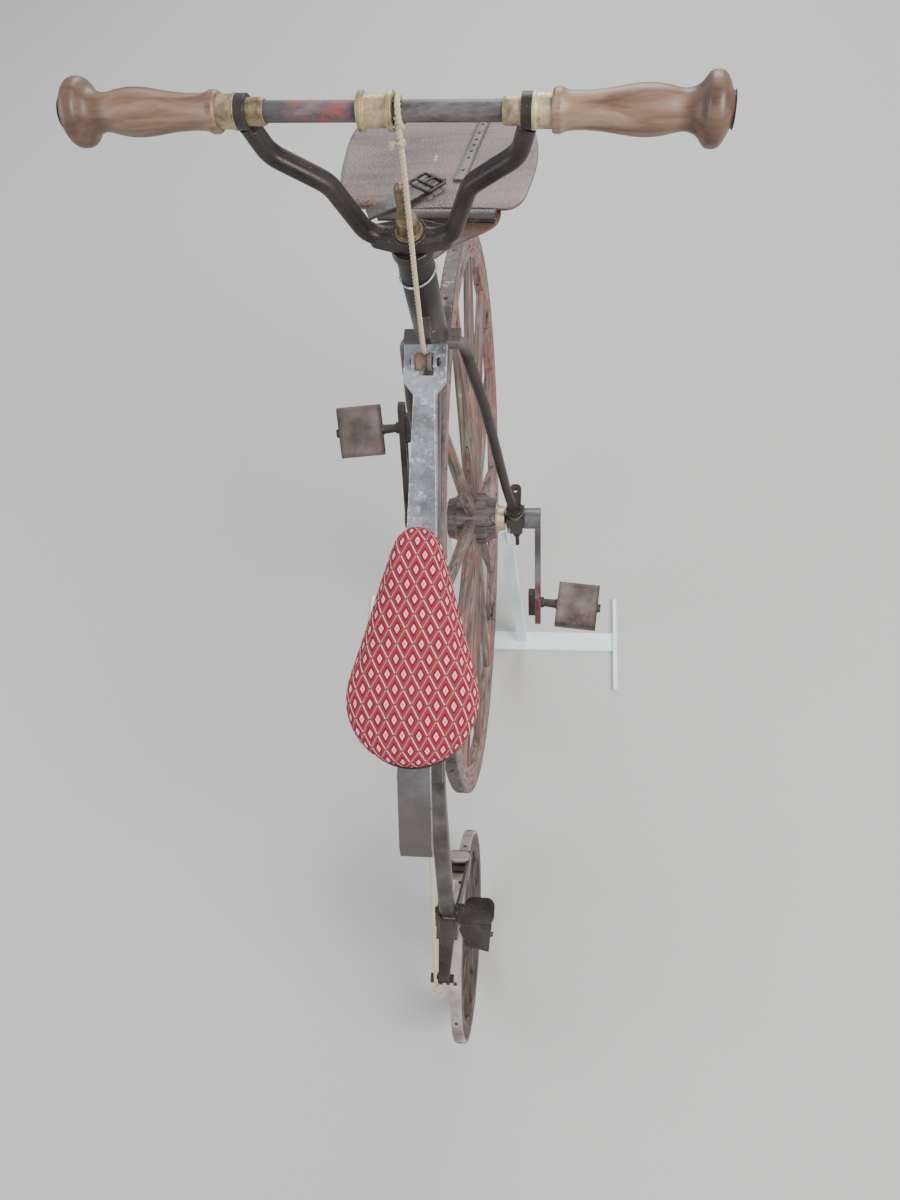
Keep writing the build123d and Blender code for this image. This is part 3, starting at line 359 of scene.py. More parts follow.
def leather(name, dark, light, scraped=None):
    """Dry old leather: pores, faint long bands, scuffs and pale bloom, and a white scrape at one place."""
    net = Net(name)
    broad = net.noise(9.0, 5.0, 0.6)
    cells = net.cells(330.0, "SMOOTH_F1")
    colour = net.mix(net.span(broad, 0.3, 0.7), dark, light)
    bands = net.noise(1.0, 5.0, 0.6, 0.9, net.scaled(net.where, (5.0, 42.0, 42.0)))
    colour = net.mix(net.span(bands, 0.44, 0.66, 0.0, 0.6), colour, shade(dark, 0.55))
    bloom = net.span(net.noise(7.0, 2.0, 0.5), 0.50, 0.66, 0.0, 0.45)
    colour = net.mix(bloom, colour, shade(light, 1.25))
    dots = net.span(net.cells(120.0), 0.07, 0.03, 0.0, 0.7)
    colour = net.mix(net.times(dots, net.span(broad, 0.45, 0.6)), colour, shade(light, 2.6))
    scuff = net.span(net.noise(60.0, 6.0, 0.75), 0.58, 0.68, 0.0, 0.45)
    colour = net.mix(scuff, colour, shade(light, 1.55))
    colour = net.mix(net.times(net.edges(0.0022), 0.8), colour, shade(dark, 0.28))
    if scraped:
        away = net.vector("MULTIPLY", net.vector("SUBTRACT", net.where, scraped), (380.0, 120.0, 120.0))
        near = net.span(net.vector("LENGTH", away, output="Value"), 1.0, 0.55, 0.0, 0.85)
        torn = net.span(net.noise(420.0, 5.0, 0.7), 0.42, 0.52)
        colour = net.mix(net.times(near, torn), colour, (0.62, 0.59, 0.61))
    creases = net.times(net.noise(24.0, 5.0, 0.6, 0.6), 1.2)
    normal = net.bump(net.plus(cells, creases), 0.0005)
    return net.finish(colour, net.span(broad, 0.3, 0.7, 0.42, 0.6), normal)


def bar_paint(name):
    """Worn dark paint on the handlebar, with a red patch left of the spool."""
    net = Net(name)
    grain = net.noise(1.0, 7.0, 0.7, where=net.scaled(net.where, (26.0, 90.0, 90.0)))
    fine = net.noise(150.0, 5.0, 0.65)
    colour = net.mix(net.span(grain, 0.35, 0.65), (0.052, 0.040, 0.042), (0.165, 0.145, 0.150))
    x = net.apart(net.where)[0]
    patch = net.times(net.span(x, -0.090, -0.070), net.span(x, -0.016, -0.036))
    red = net.times(patch, net.span(net.noise(75.0, 6.0, 0.75), 0.44, 0.60), True)
    colour = net.mix(net.span(x, -0.072, -0.090, 0.0, 0.55), colour, (0.040, 0.044, 0.048))
    colour = net.mix(net.times(red, 0.72), colour, (0.30, 0.066, 0.052))
    specks = net.span(net.noise(70.0, 6.0, 0.75), 0.64, 0.68, 0.0, 0.7)
    colour = net.mix(specks, colour, (0.30, 0.10, 0.075))
    normal = net.bump(fine, 0.0004)
    return net.finish(colour, net.span(grain, 0.3, 0.7, 0.34, 0.55), normal)


def cloth(name):
    """Woven upholstery with a traditional lozenge lattice, laid by the weave attribute."""
    net = Net(name)
    place = net.tree.nodes.new("ShaderNodeAttribute")
    place.attribute_name = "weave"
    weave = place.outputs["Vector"]
    across, along, _ = net.apart(weave)
    wobble = net.times(net.math("SUBTRACT", net.noise(900.0, 2.0, where=weave), 0.5), 0.05)
    u = net.times(net.plus(across, 0.5 * LOZENGE[0] - 0.0028), 1 / LOZENGE[0])
    v = net.times(net.plus(along, 0.0400), 1 / LOZENGE[1])
    u = net.plus(u, wobble)
    p = net.plus(u, v)
    q = net.math("SUBTRACT", u, v)
    scale = 1 / math.hypot(1 / LOZENGE[0], 1 / LOZENGE[1])
    signed = []
    for value in (p, q):
        wrapped = net.make("ShaderNodeMath", {"operation": "WRAP"}, {0: value, 1: 0.5, 2: -0.5})
        signed.append(net.times(wrapped, scale * 1000))
    near_p, near_q = (net.math("ABSOLUTE", value) for value in signed)
    inner = net.math("MINIMUM", near_p, near_q)
    thread = net.noise(1.0, 3.0, 0.6, where=net.scaled(weave, (900.0, 1900.0, 900.0)))
    colour = net.mix(net.span(inner, 3.0, 4.2), (0.345, 0.024, 0.055), (0.205, 0.004, 0.019))
    # the brown bands beside the cream lines are painted shadow of the raised lines
    brown = (0.165, 0.072, 0.056)
    shadow_beside_p = net.times(net.span(signed[0], 0.5, 0.9), net.span(signed[0], 2.5, 1.7))
    shadow_beside_q = net.times(net.span(near_q, 0.4, 0.7), net.span(near_q, 2.2, 1.3))
    colour = net.mix(net.times(net.math("MAXIMUM", shadow_beside_p, shadow_beside_q), 0.8), colour, brown)
    colour = net.mix(net.span(near_q, 0.75, 0.35), colour, (0.56, 0.195, 0.175))
    colour = net.mix(net.span(near_p, 0.74, 0.38), colour, (0.80, 0.645, 0.52))
    crossing = net.math("MAXIMUM", near_p, near_q)
    colour = net.mix(net.span(crossing, 1.15, 0.75), colour, (0.085, 0.060, 0.045))
    colour = net.mix(net.span(inner, 5.15, 5.45), colour, (0.88, 0.52, 0.50))
    colour = net.mix(net.span(inner, 7.15, 7.4), colour, (0.30, 0.012, 0.026))
    colour = net.mix(net.span(thread, 0.35, 0.65, 0.0, 0.22), colour, (0.12, 0.015, 0.02), "MULTIPLY")
    rise = net.plus(net.times(thread, 0.6), net.span(near_p, 1.1, 0.4, 0.0, 0.6))
    normal = net.bump(net.plus(rise, net.span(inner, 5.1, 5.6, 0.0, 0.5)), 0.0004)
    return net.finish(colour, 0.88, normal, Specular_IOR_Level=0.25)


def at(x, y, z):
    """A place in millimetres from the floor under the front hub, in metres in the CAD's frame."""
    return Vector((x / 1000, y / 1000 + SHIFT, z / 1000))


def add_piece(name, shape, material, body, place=None, sharp=40.0):
    """A mesh of (points, faces) that rides on a body; shape is in metres, before it is placed."""
    points, faces = shape
    mesh = bpy.data.meshes.new(name)
    mesh.from_pydata([tuple(p) for p in points], [], faces)
    if place is not None:
        mesh.transform(place)
    mesh.materials.append(material)
    mesh.shade_smooth()
    mesh.set_sharp_from_angle(angle=math.radians(sharp))
    piece = bpy.data.objects.new(name, mesh)
    bpy.context.collection.objects.link(piece)
    if body:
        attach(piece, body)
    return piece


def joined(shapes):
    points, faces = [], []
    for more_points, more_faces in shapes:
        first = len(points)
        points += list(more_points)
        faces += [tuple(first + i for i in face) for face in more_faces]
    return points, faces


def placed(shape, place):
    return [place @ Vector(p) for p in shape[0]], shape[1]


def banded(rows, sides, closed=False):
    """The faces between rings of points, and over both ends unless the rings close on themselves."""
    faces = []
    for i in range(rows if closed else rows - 1):
        j = (i + 1) % rows
        for k in range(sides):
            n = (k + 1) % sides
            faces.append((i * sides + k, i * sides + n, j * sides + n, j * sides + k))
    if not closed:
        faces.append(tuple(reversed(range(sides))))
        faces.append(tuple((rows - 1) * sides + k for k in range(sides)))
    return faces


def slab(upper, lower, wide):
    """A closed slab between two grids of points whose rows are wide points long."""
    base = len(upper)
    faces = []
    for a in range(base - wide):
        if (a + 1) % wide:
            quad = (a, a + 1, a + wide + 1, a + wide)
            faces += [quad, tuple(base + i for i in reversed(quad))]
    last = base - wide
    border = [*range(wide - 1), *range(wide - 1, base - 1, wide), *range(base - 1, last, -1), *range(last, 0, -wide)]
    faces += [(b, a, base + a, base + b) for a, b in zip(border, border[1:] + border[:1])]
    return upper + lower, faces


def round_corners(half_x, half_y, corner, steps):
    """The outline of a rectangle with round corners, in millimetres."""
    ring = []
    for sx, sy, first in ((1, 1, 0), (-1, 1, 90), (-1, -1, 180), (1, -1, 270)):
        for step in range(steps):
            t = math.radians(first + 90 * step / (steps - 1))
            ring.append((sx * (half_x - corner) + corner * math.cos(t), sy * (half_y - corner) + corner * math.sin(t)))
    return ring


def cross_ways(path, closed=False):
    """Two steady directions across a path, at each of its points."""
    ways = []
    side = None
    count = len(path)
    for i in range(count):
        after = path[(i + 1) % count] if closed else path[min(i + 1, count - 1)]
        before = path[i - 1] if closed else path[max(i - 1, 0)]
        ahead = (after - before).normalized()
        side = ahead.orthogonal() if side is None else side - ahead * side.dot(ahead)
        side.normalize()
        ways.append((side.copy(), ahead.cross(side)))
    return ways


def tube(path, radius, sides=8, closed=False):
    """A round bar along a path; radius is a number, or a function of the share of the way."""
    points = []
    last = len(path) - 1
    for i, (middle, (a, b)) in enumerate(zip(path, cross_ways(path, closed))):
        r = radius(i / last) if callable(radius) else radius
        for k in range(sides):
            turn = 2 * math.pi * k / sides
            points.append(middle + r * (math.cos(turn) * a + math.sin(turn) * b))
    return points, banded(len(path), sides, closed)


def lathe(profile, sides):
    """A solid turned about local Z from (radius, height) rows, closed at both ends."""
    points = []
    for r, z in profile:
        for k in range(sides):
            turn = 2 * math.pi * k / sides
            points.append(Vector((r * math.cos(turn), r * math.sin(turn), z)))
    return points, banded(len(profile), sides)


def evenly(path, step):
    """The same path with its points a fixed step apart."""
    result = [path[0].copy()]
    left = step
    for a, b in zip(path, path[1:]):
        length = (b - a).length
        while length > 0 and left <= length:
            a = a.lerp(b, left / length)
            result.append(a.copy())
            length = (b - a).length
            left = step
        left -= length
    return result


def smooth_path(controls, step):
    """Points a step apart on the smooth curve that the control points give."""
    curve = bpy.data.curves.new("route", "CURVE")
    curve.dimensions = "3D"
    curve.resolution_u = 24
    spline = curve.splines.new("NURBS")
    spline.points.add(len(controls) - 1)
    for point, place in zip(spline.points, controls):
        point.co = (*place, 1)
    spline.order_u = 3
    spline.use_endpoint_u = True
    holder = bpy.data.objects.new("route", curve)
    mesh = bpy.data.meshes.new_from_object(holder)
    points = [v.co.copy() for v in mesh.vertices]
    bpy.data.objects.remove(holder)
    bpy.data.curves.remove(curve)
    bpy.data.meshes.remove(mesh)
    return evenly(points, step)


def strands(path, step, radius, lay):
    """Three twisted strands that follow a path; lay is the length of one full twist."""
    ways = cross_ways(path)
    parts = []
    for k in range(3):
        line = []
        for i, (middle, (a, b)) in enumerate(zip(path, ways)):
            turn = 2 * math.pi * (i * step / lay + k / 3)
            line.append(middle + 0.50 * radius * (math.cos(turn) * a + math.sin(turn) * b))
        parts.append(tube(line, 0.52 * radius, 7))
    return joined(parts)


def settle(piece):
    """Puts the result of a piece's modifiers into its mesh."""
    graph = bpy.context.evaluated_depsgraph_get()
    mesh = bpy.data.meshes.new_from_object(piece.evaluated_get(graph))
    piece.modifiers.clear()
    old = piece.data
    piece.data = mesh
    bpy.data.meshes.remove(old)


def subdivide(piece, levels):
    modifier = piece.modifiers.new("subdivide", "SUBSURF")
    modifier.levels = levels
    modifier.render_levels = levels


def thicken(piece, thickness):
    modifier = piece.modifiers.new("thick", "SOLIDIFY")
    modifier.thickness = thickness
    modifier.offset = 0


# Saddle
SADDLE_PLACE = posed(at(0, -448, 945.02), ("X", 18.31)) @ posed((0, 0, 0.0198))
# circles of (radius, place along) in metres, and rows of (inset, height) in millimetres
SADDLE_ROUNDS = ((0.0285, 0.1175), (0.0620, 0.0000), (0.0765, -0.0495))
SADDLE_ROWS = ((6, 0.5), (2.5, 1.5), (1.5, 7), (2.5, 14), (5.5, 20), (10, 23.5), (20, 25.5), (35, 26.5))
SADDLE_HEIGHT = 0.034
SADDLE_CENTRE = Vector((0, -0.02, 0))
SADDLE_VOXEL = 0.0045
SADDLE_HELD = 0.0025               # the cloth below this height is held
SWELL_CAP = 0.010                  # the furthest that a point of the cloth may move
PRESSURE = 4
SWELL_FRAMES = 20
LOZENGE = (0.0182, 0.0327)         # across, along


def saddle_outline(count):
    """Three circles in one hull, rounded off."""
    points = []
    for radius, along in SADDLE_ROUNDS:
        for k in range(120):
            turn = 2 * math.pi * k / 120
            points.append((radius * math.cos(turn), along + radius * math.sin(turn)))
    hull = [Vector((*points[i], 0)) for i in geometry.convex_hull_2d(points)]
    loop = evenly(hull + [hull[0]], 0.001)
    length = len(loop)
    loop = [loop[int(i * length / count)] for i in range(count)]
    for _ in range(6):
        loop = [(loop[i - 1] + 2 * loop[i] + loop[(i + 1) % count]) / 4 for i in range(count)]
    return loop


def make_saddle(material):
    count = 120
    outline = saddle_outline(count)
    points = []
    for inset, height in SADDLE_ROWS:
        for p in outline:
            inward = SADDLE_CENTRE - p
            spot = p + inward.normalized() * min(inset / 1000, 0.8 * inward.length)
            points.append(Vector((spot.x, spot.y, height / 1000)))
    piece = add_piece("saddle_cushion", (points, banded(len(SADDLE_ROWS), count)), material, None)
    remesh = piece.modifiers.new("remesh", "REMESH")
    remesh.mode = "VOXEL"
    remesh.voxel_size = SADDLE_VOXEL
    settle(piece)
    swell(piece)
    subdivide(piece, 1)
    settle(piece)
    mesh = piece.data
    # the cloth's own places: as seen from above on the crown, and unrolled down the sides
    ways = []
    for i, p in enumerate(outline):
        along = (outline[(i + 1) % count] - outline[i - 1]).normalized()
        ways.append((p, Vector((along.y, -along.x, 0))))
    weave = mesh.attributes.new("weave", "FLOAT_VECTOR", "POINT")
    shoulder = 0.75 * SADDLE_HEIGHT
    for i, v in enumerate(mesh.vertices):
        p, out = min(ways, key=lambda way: (way[0].x - v.co.x) ** 2 + (way[0].y - v.co.y) ** 2)
        if out.dot(p) < 0:
            out = -out
        down = max(0.0, shoulder - v.co.z)
        weave.data[i].vector = (v.co.x + out.x * down, v.co.y + out.y * down, v.co.z)
    mesh.transform(SADDLE_PLACE)
    mesh.materials.clear()
    mesh.materials.append(material)
    mesh.shade_smooth()
    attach(piece, "frame")
    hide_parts("saddle")


def swell(piece):
    """Blows the closed cloth up a little from within, with its seat held flat."""
    start = [v.co.copy() for v in piece.data.vertices]
    held = piece.vertex_groups.new(name="held")
    held.add([i for i, p in enumerate(start) if p.z < SADDLE_HELD], 1.0, "REPLACE")
    cloth = piece.modifiers.new("cloth", "CLOTH")
    cloth.settings.vertex_group_mass = "held"
    cloth.settings.use_pressure = True
    cloth.settings.uniform_pressure_force = PRESSURE
    cloth.settings.quality = 6
    cloth.settings.effector_weights.gravity = 0
    for number in range(1, SWELL_FRAMES + 1):
        bpy.context.scene.frame_set(number)
    graph = bpy.context.evaluated_depsgraph_get()
    blown = [v.co.copy() for v in piece.evaluated_get(graph).data.vertices]
    piece.modifiers.clear()
    bpy.context.scene.frame_set(1)
    for v, before, after in zip(piece.data.vertices, start, blown):
        move = after - before
        if move.length > SWELL_CAP:
            move *= SWELL_CAP / move.length
        v.co = before + move
        v.co.z = min(max(v.co.z, 0.0003), 1.12 * SADDLE_HEIGHT)


# Leather apron: its places are in millimetres in its own plane
APRON_PLACE = posed(at(10, 16, 1150), ("Z", BAR_TURN), ("X", -12.5))
APRON_EDGE = (
    (-94, 3), (-60, 2), (-30, 1), (0, 2), (30, 1), (60, 1), (86, 1), (100, 17), (106, 55), (109, 100), (106, 145),
    (97, 186), (78, 212), (45, 223), (-10, 226), (-60, 225), (-108, 217), (-128, 196), (-133, 160), (-131, 120),
    (-127, 78), (-119, 38), (-108, 13))
SCRAPE = (1.2, 129.2, 1129.2)       # a white scrape on the panel, as at() takes it
APRON_CENTRE = Vector((-8, 105, 0))


def apron_lift(x, y):
    """How far the leather stands off its plane: long slack waves and a slight curl at its rim."""
    wave = 1.3 * math.sin(0.021 * x + 0.9) * math.sin(0.016 * y + 0.3) + 0.6 * math.sin(0.05 * x - 0.03 * y)
    curl = 3.0 * (abs(x + 10) / 120) ** 4
    return wave + curl


def leather_strip(line, width, thick, rows, wrinkle=0.0):
    """A flat strap along points (x, y, z) in the apron's plane, in metres when done."""
    path = smooth_path([Vector(p) / 1000 for p in line], 0.002)
    upper, lower = [], []
    for i, p in enumerate(path):
        ahead = (path[min(i + 1, len(path) - 1)] - path[max(i - 1, 0)]).normalized()
        side = ahead.cross(Vector((0, 0, 1))).normalized()
        up = side.cross(ahead)
        for k in range(rows + 1):
            share = k / rows - 0.5
            bend = wrinkle * math.sin(0.9 * i + 2.1 * k) * 0.001
            crown = -0.0006 * (2 * share) ** 4
            spot = p + side * share * width / 1000 + up * (bend + crown)
            upper.append(spot + up * thick / 2000)
            lower.append(spot - up * thick / 2000)
    return slab(upper, lower, rows + 1)


def rim(points, count):
    """A closed smooth loop of even points through corner points in millimetres."""
    size = len(points)
    loop = []
    for i in range(size):
        a, b, c, d = (Vector((*points[(i + k) % size], 0)) for k in (-1, 0, 1, 2))
        for j in range(12):
            t = j / 12
            bend = (2 * a - 5 * b + 4 * c - d) * t * t + (3 * b - a - 3 * c + d) * t ** 3
            loop.append(0.5 * (2 * b + (c - a) * t + bend))
    loop.append(loop[0])
    total = sum((b - a).length for a, b in zip(loop, loop[1:]))
    return evenly(loop, total / count)[:count]


def make_apron(skin, worn, strap_skin, gusset, metal):
    count, rings = 132, 22
    loop = rim(APRON_EDGE, count)
    spots = [APRON_CENTRE.lerp(p, ring / rings) for ring in range(1, rings + 1) for p in loop] + [APRON_CENTRE]
    points = [Vector((p.x, p.y, 2.4 + apron_lift(p.x, p.y))) / 1000 for p in spots]
    faces = []
    for ring in range(rings - 1):
        for k in range(count):
            n = (k + 1) % count
            faces.append((ring * count + k, (ring + 1) * count + k, (ring + 1) * count + n, ring * count + n))
    faces += [(len(points) - 1, k, (k + 1) % count) for k in range(count)]
    panel = add_piece("apron_panel", (points, faces), skin, None)
    thicken(panel, 0.0032)
    edge = panel.modifiers.new("edge", "BEVEL")
    edge.width = 0.0008
    edge.segments = 2
    edge.angle_limit = math.radians(50)
    settle(panel)
    panel.data.transform(APRON_PLACE)
    panel.data.shade_smooth()
    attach(panel, "frame")
    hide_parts("leather_apron")

    # the tongue that runs back under the roll to the head: place back, left and right edge, height
    rows = ((12, -22, 76, -2), (-2, -22, 77, -3.5), (-14, -20, 75, -6), (-24, -20, 66, -9), (-34, -22, 50, -11.5),
            (-46, -28, 28, -13.5), (-58, -34, 12, -15), (-66, -36, 6, -15.5))
    points, faces = [], []
    wide = 24
    for y, left, right, z in rows:
        for k in range(wide + 1):
            share = k / wide
            tuck = 0.0 if y > -55 else -9 * (2 * share - 1) ** 2
            height = z + 1.2 * math.sin(5 * share + 0.1 * y)
            points.append(Vector((left + (right - left) * share, y + tuck, height)) / 1000)
    for i in range(len(rows) - 1):
        for k in range(wide):
            a = i * (wide + 1) + k
            faces.append((a, a + wide + 1, a + wide + 2, a + 1))
    tongue = add_piece("apron_tongue", (points, faces), gusset, None)
    thicken(tongue, 0.0030)
    subdivide(tongue, 2)
    settle(tongue)
    tongue.data.transform(APRON_PLACE)
    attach(tongue, "frame")

    # the rolled loop along the rear edge
    turns, steps, long = 1.55, 40, 46
    outer, inner = [], []
    for j in range(long + 1):
        x = -64 + 136 * j / long
        dent = 0.5 * math.sin(0.31 * j) + 0.3 * math.sin(0.83 * j + 1)
        for grid, thick in ((outer, 0.0), (inner, 2.3)):
            for i in range(steps + 1):
                turn = -2.2 + 2 * math.pi * turns * i / steps
                r = 7.8 - 3.4 * i / steps - thick + 0.3 * dent
                grid.append(Vector((x, -11 + 1.15 * r * math.cos(turn), 3.2 + 0.80 * r * math.sin(turn))) / 1000)
    add_piece("apron_roll", slab(outer, inner, steps + 1), worn, "frame", APRON_PLACE, 50)

    # punched strap, with its holes lined by dark rings, and its stitches
    line = ((34, 222, 6.4), (30, 180, 6.2), (25, 120, 6.6), (20.5, 57, 6.8))
    strap = add_piece("strap_punched", leather_strip(line, 14.5, 2.3, 4), worn, None)
    punch = []
    for share in (0.16, 0.30, 0.40, 0.49, 0.58, 0.68, 0.86):
        spot = Vector(line[0]).lerp(Vector(line[3]), share) / 1000
        punch.append(placed(lathe([(0.0019, -0.006), (0.0019, 0.006)], 12), posed(spot)))
    tool = add_piece("punch", joined(punch), worn, None)
    cut = strap.modifiers.new("holes", "BOOLEAN")
    cut.object = tool
    cut.solver = "EXACT"
    settle(strap)
    bpy.data.objects.remove(tool)
    strap.data.transform(APRON_PLACE)
    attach(strap, "frame")
    stitches = []
    stitch = lathe([(0.0002, -0.0013), (0.00045, -0.0006), (0.00045, 0.0006), (0.0002, 0.0013)], 6)
    for offset in (-5.6, 5.6):
        for k in range(46):
            y = 218 - 3.5 * k
            x = 20.5 + (34 - 20.5) * ((y - 57) / 165) + offset
            place = posed(Vector((x, y, 7.5)) / 1000, ("Z", math.degrees(-0.085)), ("X", 90))
            stitches.append(placed(stitch, place))
    add_piece("strap_stitches", joined(stitches), strap_skin, "frame", APRON_PLACE)

    # buckle and the strap that holds it
    line = ((-4, 66, 7.5), (-14, 50, 7.8), (-28, 24, 8.6), (-44, -2, 12.5), (-60, -14, 12.0), (-75, -20, 7))
    add_piece("strap_buckle", leather_strip(line, 22, 2.8, 5, 0.16), strap_skin, "frame", APRON_PLACE)
    loop = [Vector((x, y, 0)) / 1000 for x, y in round_corners(17.5, 14.0, 3.5, 5)]
    bar = [Vector((x, -2, 0)) / 1000 for x in (-17.5, 17.5)]
    tongue = [Vector((1, y, z)) / 1000 for y, z in ((-4, 1.2), (4, 2.2), (14.5, 1.5))]
    bars = [tube(loop, 0.0017, 8, True), tube(bar, 0.0013), tube(tongue, 0.0012)]
    place = APRON_PLACE @ posed(Vector((-15, 46, 10.4)) / 1000, ("Z", -36))
    add_piece("buckle", joined(bars), metal, "frame", place)

    # a torn, crumpled end of leather at the left end of the roll
    line = ((-104, 10, 4.5), (-94, 9, 8), (-84, 5, 6), (-74, 6, 9), (-64, 3, 7))
    add_piece("apron_tab", leather_strip(line, 9, 2.4, 5, 0.9), gusset, "frame", APRON_PLACE)


# Cord: the routes are as at() takes them
ROPE_R = 0.0029
ROPE_STEP = 0.0012
ROPE_LAY = 0.0145
FIBRE_R = 0.00028
FRONT_ROUTE = ((14.2, -120.3, 1373), (14.2, -120.6, 1350), (12, -124.5, 1300), (5, -125.6, 1190), (-0.4, -125.2, 1090),
               (-0.5, -125.3, 1078))
REAR_ROUTE = ((-0.5, -125.3, 1078), (-0.5, -125.5, 1060), (-15.5, -141, 1039), (-16.5, -158, 1014), (-16.5, -194, 976),
              (-16.5, -262, 930), (-14.5, -520, 694), (-13.5, -748, 494), (-13, -764, 478))


def rope(name, route, material, body):
    path = smooth_path([at(*p) for p in route], ROPE_STEP)
    return add_piece(name, strands(path, ROPE_STEP, ROPE_R, ROPE_LAY), material, body)


def twist(points, radius, lay):
    """A thinner cord through the points."""
    step = 0.001
    return strands(evenly(points, step), step, radius, lay)


def tuft(place, way, count, length, seed):
    """Loose fibres that fan out from a place."""
    draw = random.Random(seed)
    parts = []
    for _ in range(count):
        spread = Vector([draw.uniform(-1, 1) for _ in range(3)])
        aim = (way + 0.75 * spread).normalized()
        droop = Vector((0, 0, -1)) * draw.uniform(0.1, 0.5)
        reach = length * draw.uniform(0.5, 1.0)
        path = [place + aim * reach * t + droop * reach * t * t * 0.5 for t in (0, 0.33, 0.66, 1)]
        parts.append(tube(path, lambda share: FIBRE_R * (1 - 0.6 * share), 4))
    return joined(parts)


def make_cords(material):
    # front span: from the turn on the bar down to the pulley, across the steering joint
    front = rope("cord_front", FRONT_ROUTE, material, None)
    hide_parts("brake_cord_front")
    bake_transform(front)
    rear = rope("cord_rear", REAR_ROUTE, material, "frame")
    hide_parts("brake_cord_rear")
    # one turn and a bit round the bar, beside the spool
    turn = []
    for k in range(70):
        t = math.radians(200 + 460 * k / 69)
        turn.append(BAR @ Vector((0.0128 + 0.0052 * k / 69, 0.0122 * math.cos(t), 0.0122 * math.sin(t))))
    shape = strands(evenly(turn, ROPE_STEP), ROPE_STEP, ROPE_R, ROPE_LAY)
    winding = add_piece("cord_winding_turns", shape, material, "fork")
    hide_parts("cord_winding")
    # the cord's own end, tucked once round it under the bar and frayed
    middle = at(13.9, -121.0, 1349)
    hitch = []
    for k in range(19):
        t = 0.35 * k
        hitch.append(middle + Vector((0.0036 * math.cos(t), 0.0036 * math.sin(t), 0.0009 * t - 0.003)))
    knot = joined([twist(hitch, 0.0016, 0.009),
                   tuft(middle + Vector((-0.0045, -0.003, 0.0015)), Vector((-1, -0.3, -0.1)), 46, 0.0075, 5),
                   tuft(middle + Vector((0.002, -0.004, -0.001)), Vector((0.5, -1, -0.6)), 12, 0.004, 6)])
    add_piece("cord_knot", knot, material, "fork")
    # the rear end is looped round the roller's pin and whipped
    hook = []
    for k in range(46):
        t = math.radians(150 - 400 * k / 45)
        hook.append(at(-13 + 1.5 * k / 45, -760 + 6.6 * math.cos(t), 478 + 6.6 * math.sin(t)))
    end = joined([twist(hook, 0.0026, 0.012), tuft(hook[-1], Vector((0, 0.4, -1)), 26, 0.008, 9)])
    add_piece("cord_end", end, material, "frame")
    # what is left over is knotted and frayed behind the roller
    trefoil = []
    for k in range(61):
        t = 2 * math.pi * k / 60
        trefoil.append(at(-10.5 + 2.4 * math.sin(3 * t), -771 + 2.2 * (math.cos(t) - 2 * math.cos(2 * t)),
                          463 + 2.2 * (math.sin(t) + 2 * math.sin(2 * t))))
    lead = [at(-12, -760, 471.4), at(-11.6, -764, 470), at(-11, -768, 466)]
    tail = joined([twist(trefoil, 0.0025, 0.011), twist(lead, 0.0024, 0.011),
                   tuft(at(-10.5, -773, 461), Vector((0.05, -0.85, -0.5)), 130, 0.017, 12)])
    add_piece("cord_end_knot", tail, material, "frame")
    coil = []
    for k in range(150):
        t = 0.42 * k
        spot = at(-13.3, -745, 496.6).lerp(at(-13.1, -753, 489.5), k / 149)
        coil.append(spot + Vector((0.0037 * math.cos(t), 0.0028 * math.sin(t), 0.0028 * math.sin(t))))
    add_piece("cord_whipping", tube(coil, 0.0006, 6), material, "frame")


# Small metal pieces
def dome(radius, height):
    rows = [(radius, -0.001)]
    for k in range(6):
        t = math.radians(15 * k)
        rows.append((radius * math.cos(t), height * math.sin(t)))
    rows.append((0.0002, height))
    return lathe(rows, 14)


def hexagon(radius, height):
    """A nut with its corners turned off, and the bolt's end in it."""
    shape = lathe([(radius * 0.93, 0), (radius, 0.12 * height), (radius, 0.86 * height), (radius * 0.90, height)], 6)
    end = lathe([(radius * 0.52, height * 0.5), (radius * 0.52, height + 0.0035), (radius * 0.42, height + 0.0045)], 16)
    return joined([shape, end])


def facing(place, way):
    """A matrix that moves to a place and turns local Z to a direction."""
    return Matrix.Translation(place) @ Vector(way).to_track_quat("Z", "Y").to_matrix().to_4x4()


def studs(name, centre, radius, count, first, head, material, body, half=0.0):
    """Heads of (radius, rise) round a tyre, or on both flanks of a felloe when half its width is given."""
    parts = []
    for k in range(count):
        t = math.radians(first + 360 * k / count)
        out = Vector((0, -math.sin(t), math.cos(t)))
        for way in (Vector((1, 0, 0)), Vector((-1, 0, 0))) if half else (out,):
            parts.append(placed(dome(*head), facing(centre + out * radius + way * half, way)))
    add_piece(name, joined(parts), material, body)


def wire_ring(name, place, radius, wire, turns, pitch, material, body, lobes=0.0):
    """Wire wound about local Z of its place."""
    path = []
    for k in range(int(30 * turns) + 1):
        t = 2 * math.pi * k / 30
        r = radius + lobes * math.sin(3 * t)
        path.append(place @ Vector((r * math.cos(t), r * math.sin(t), pitch * t / (2 * math.pi))))
    add_piece(name, tube(path, wire, 6), material, body)


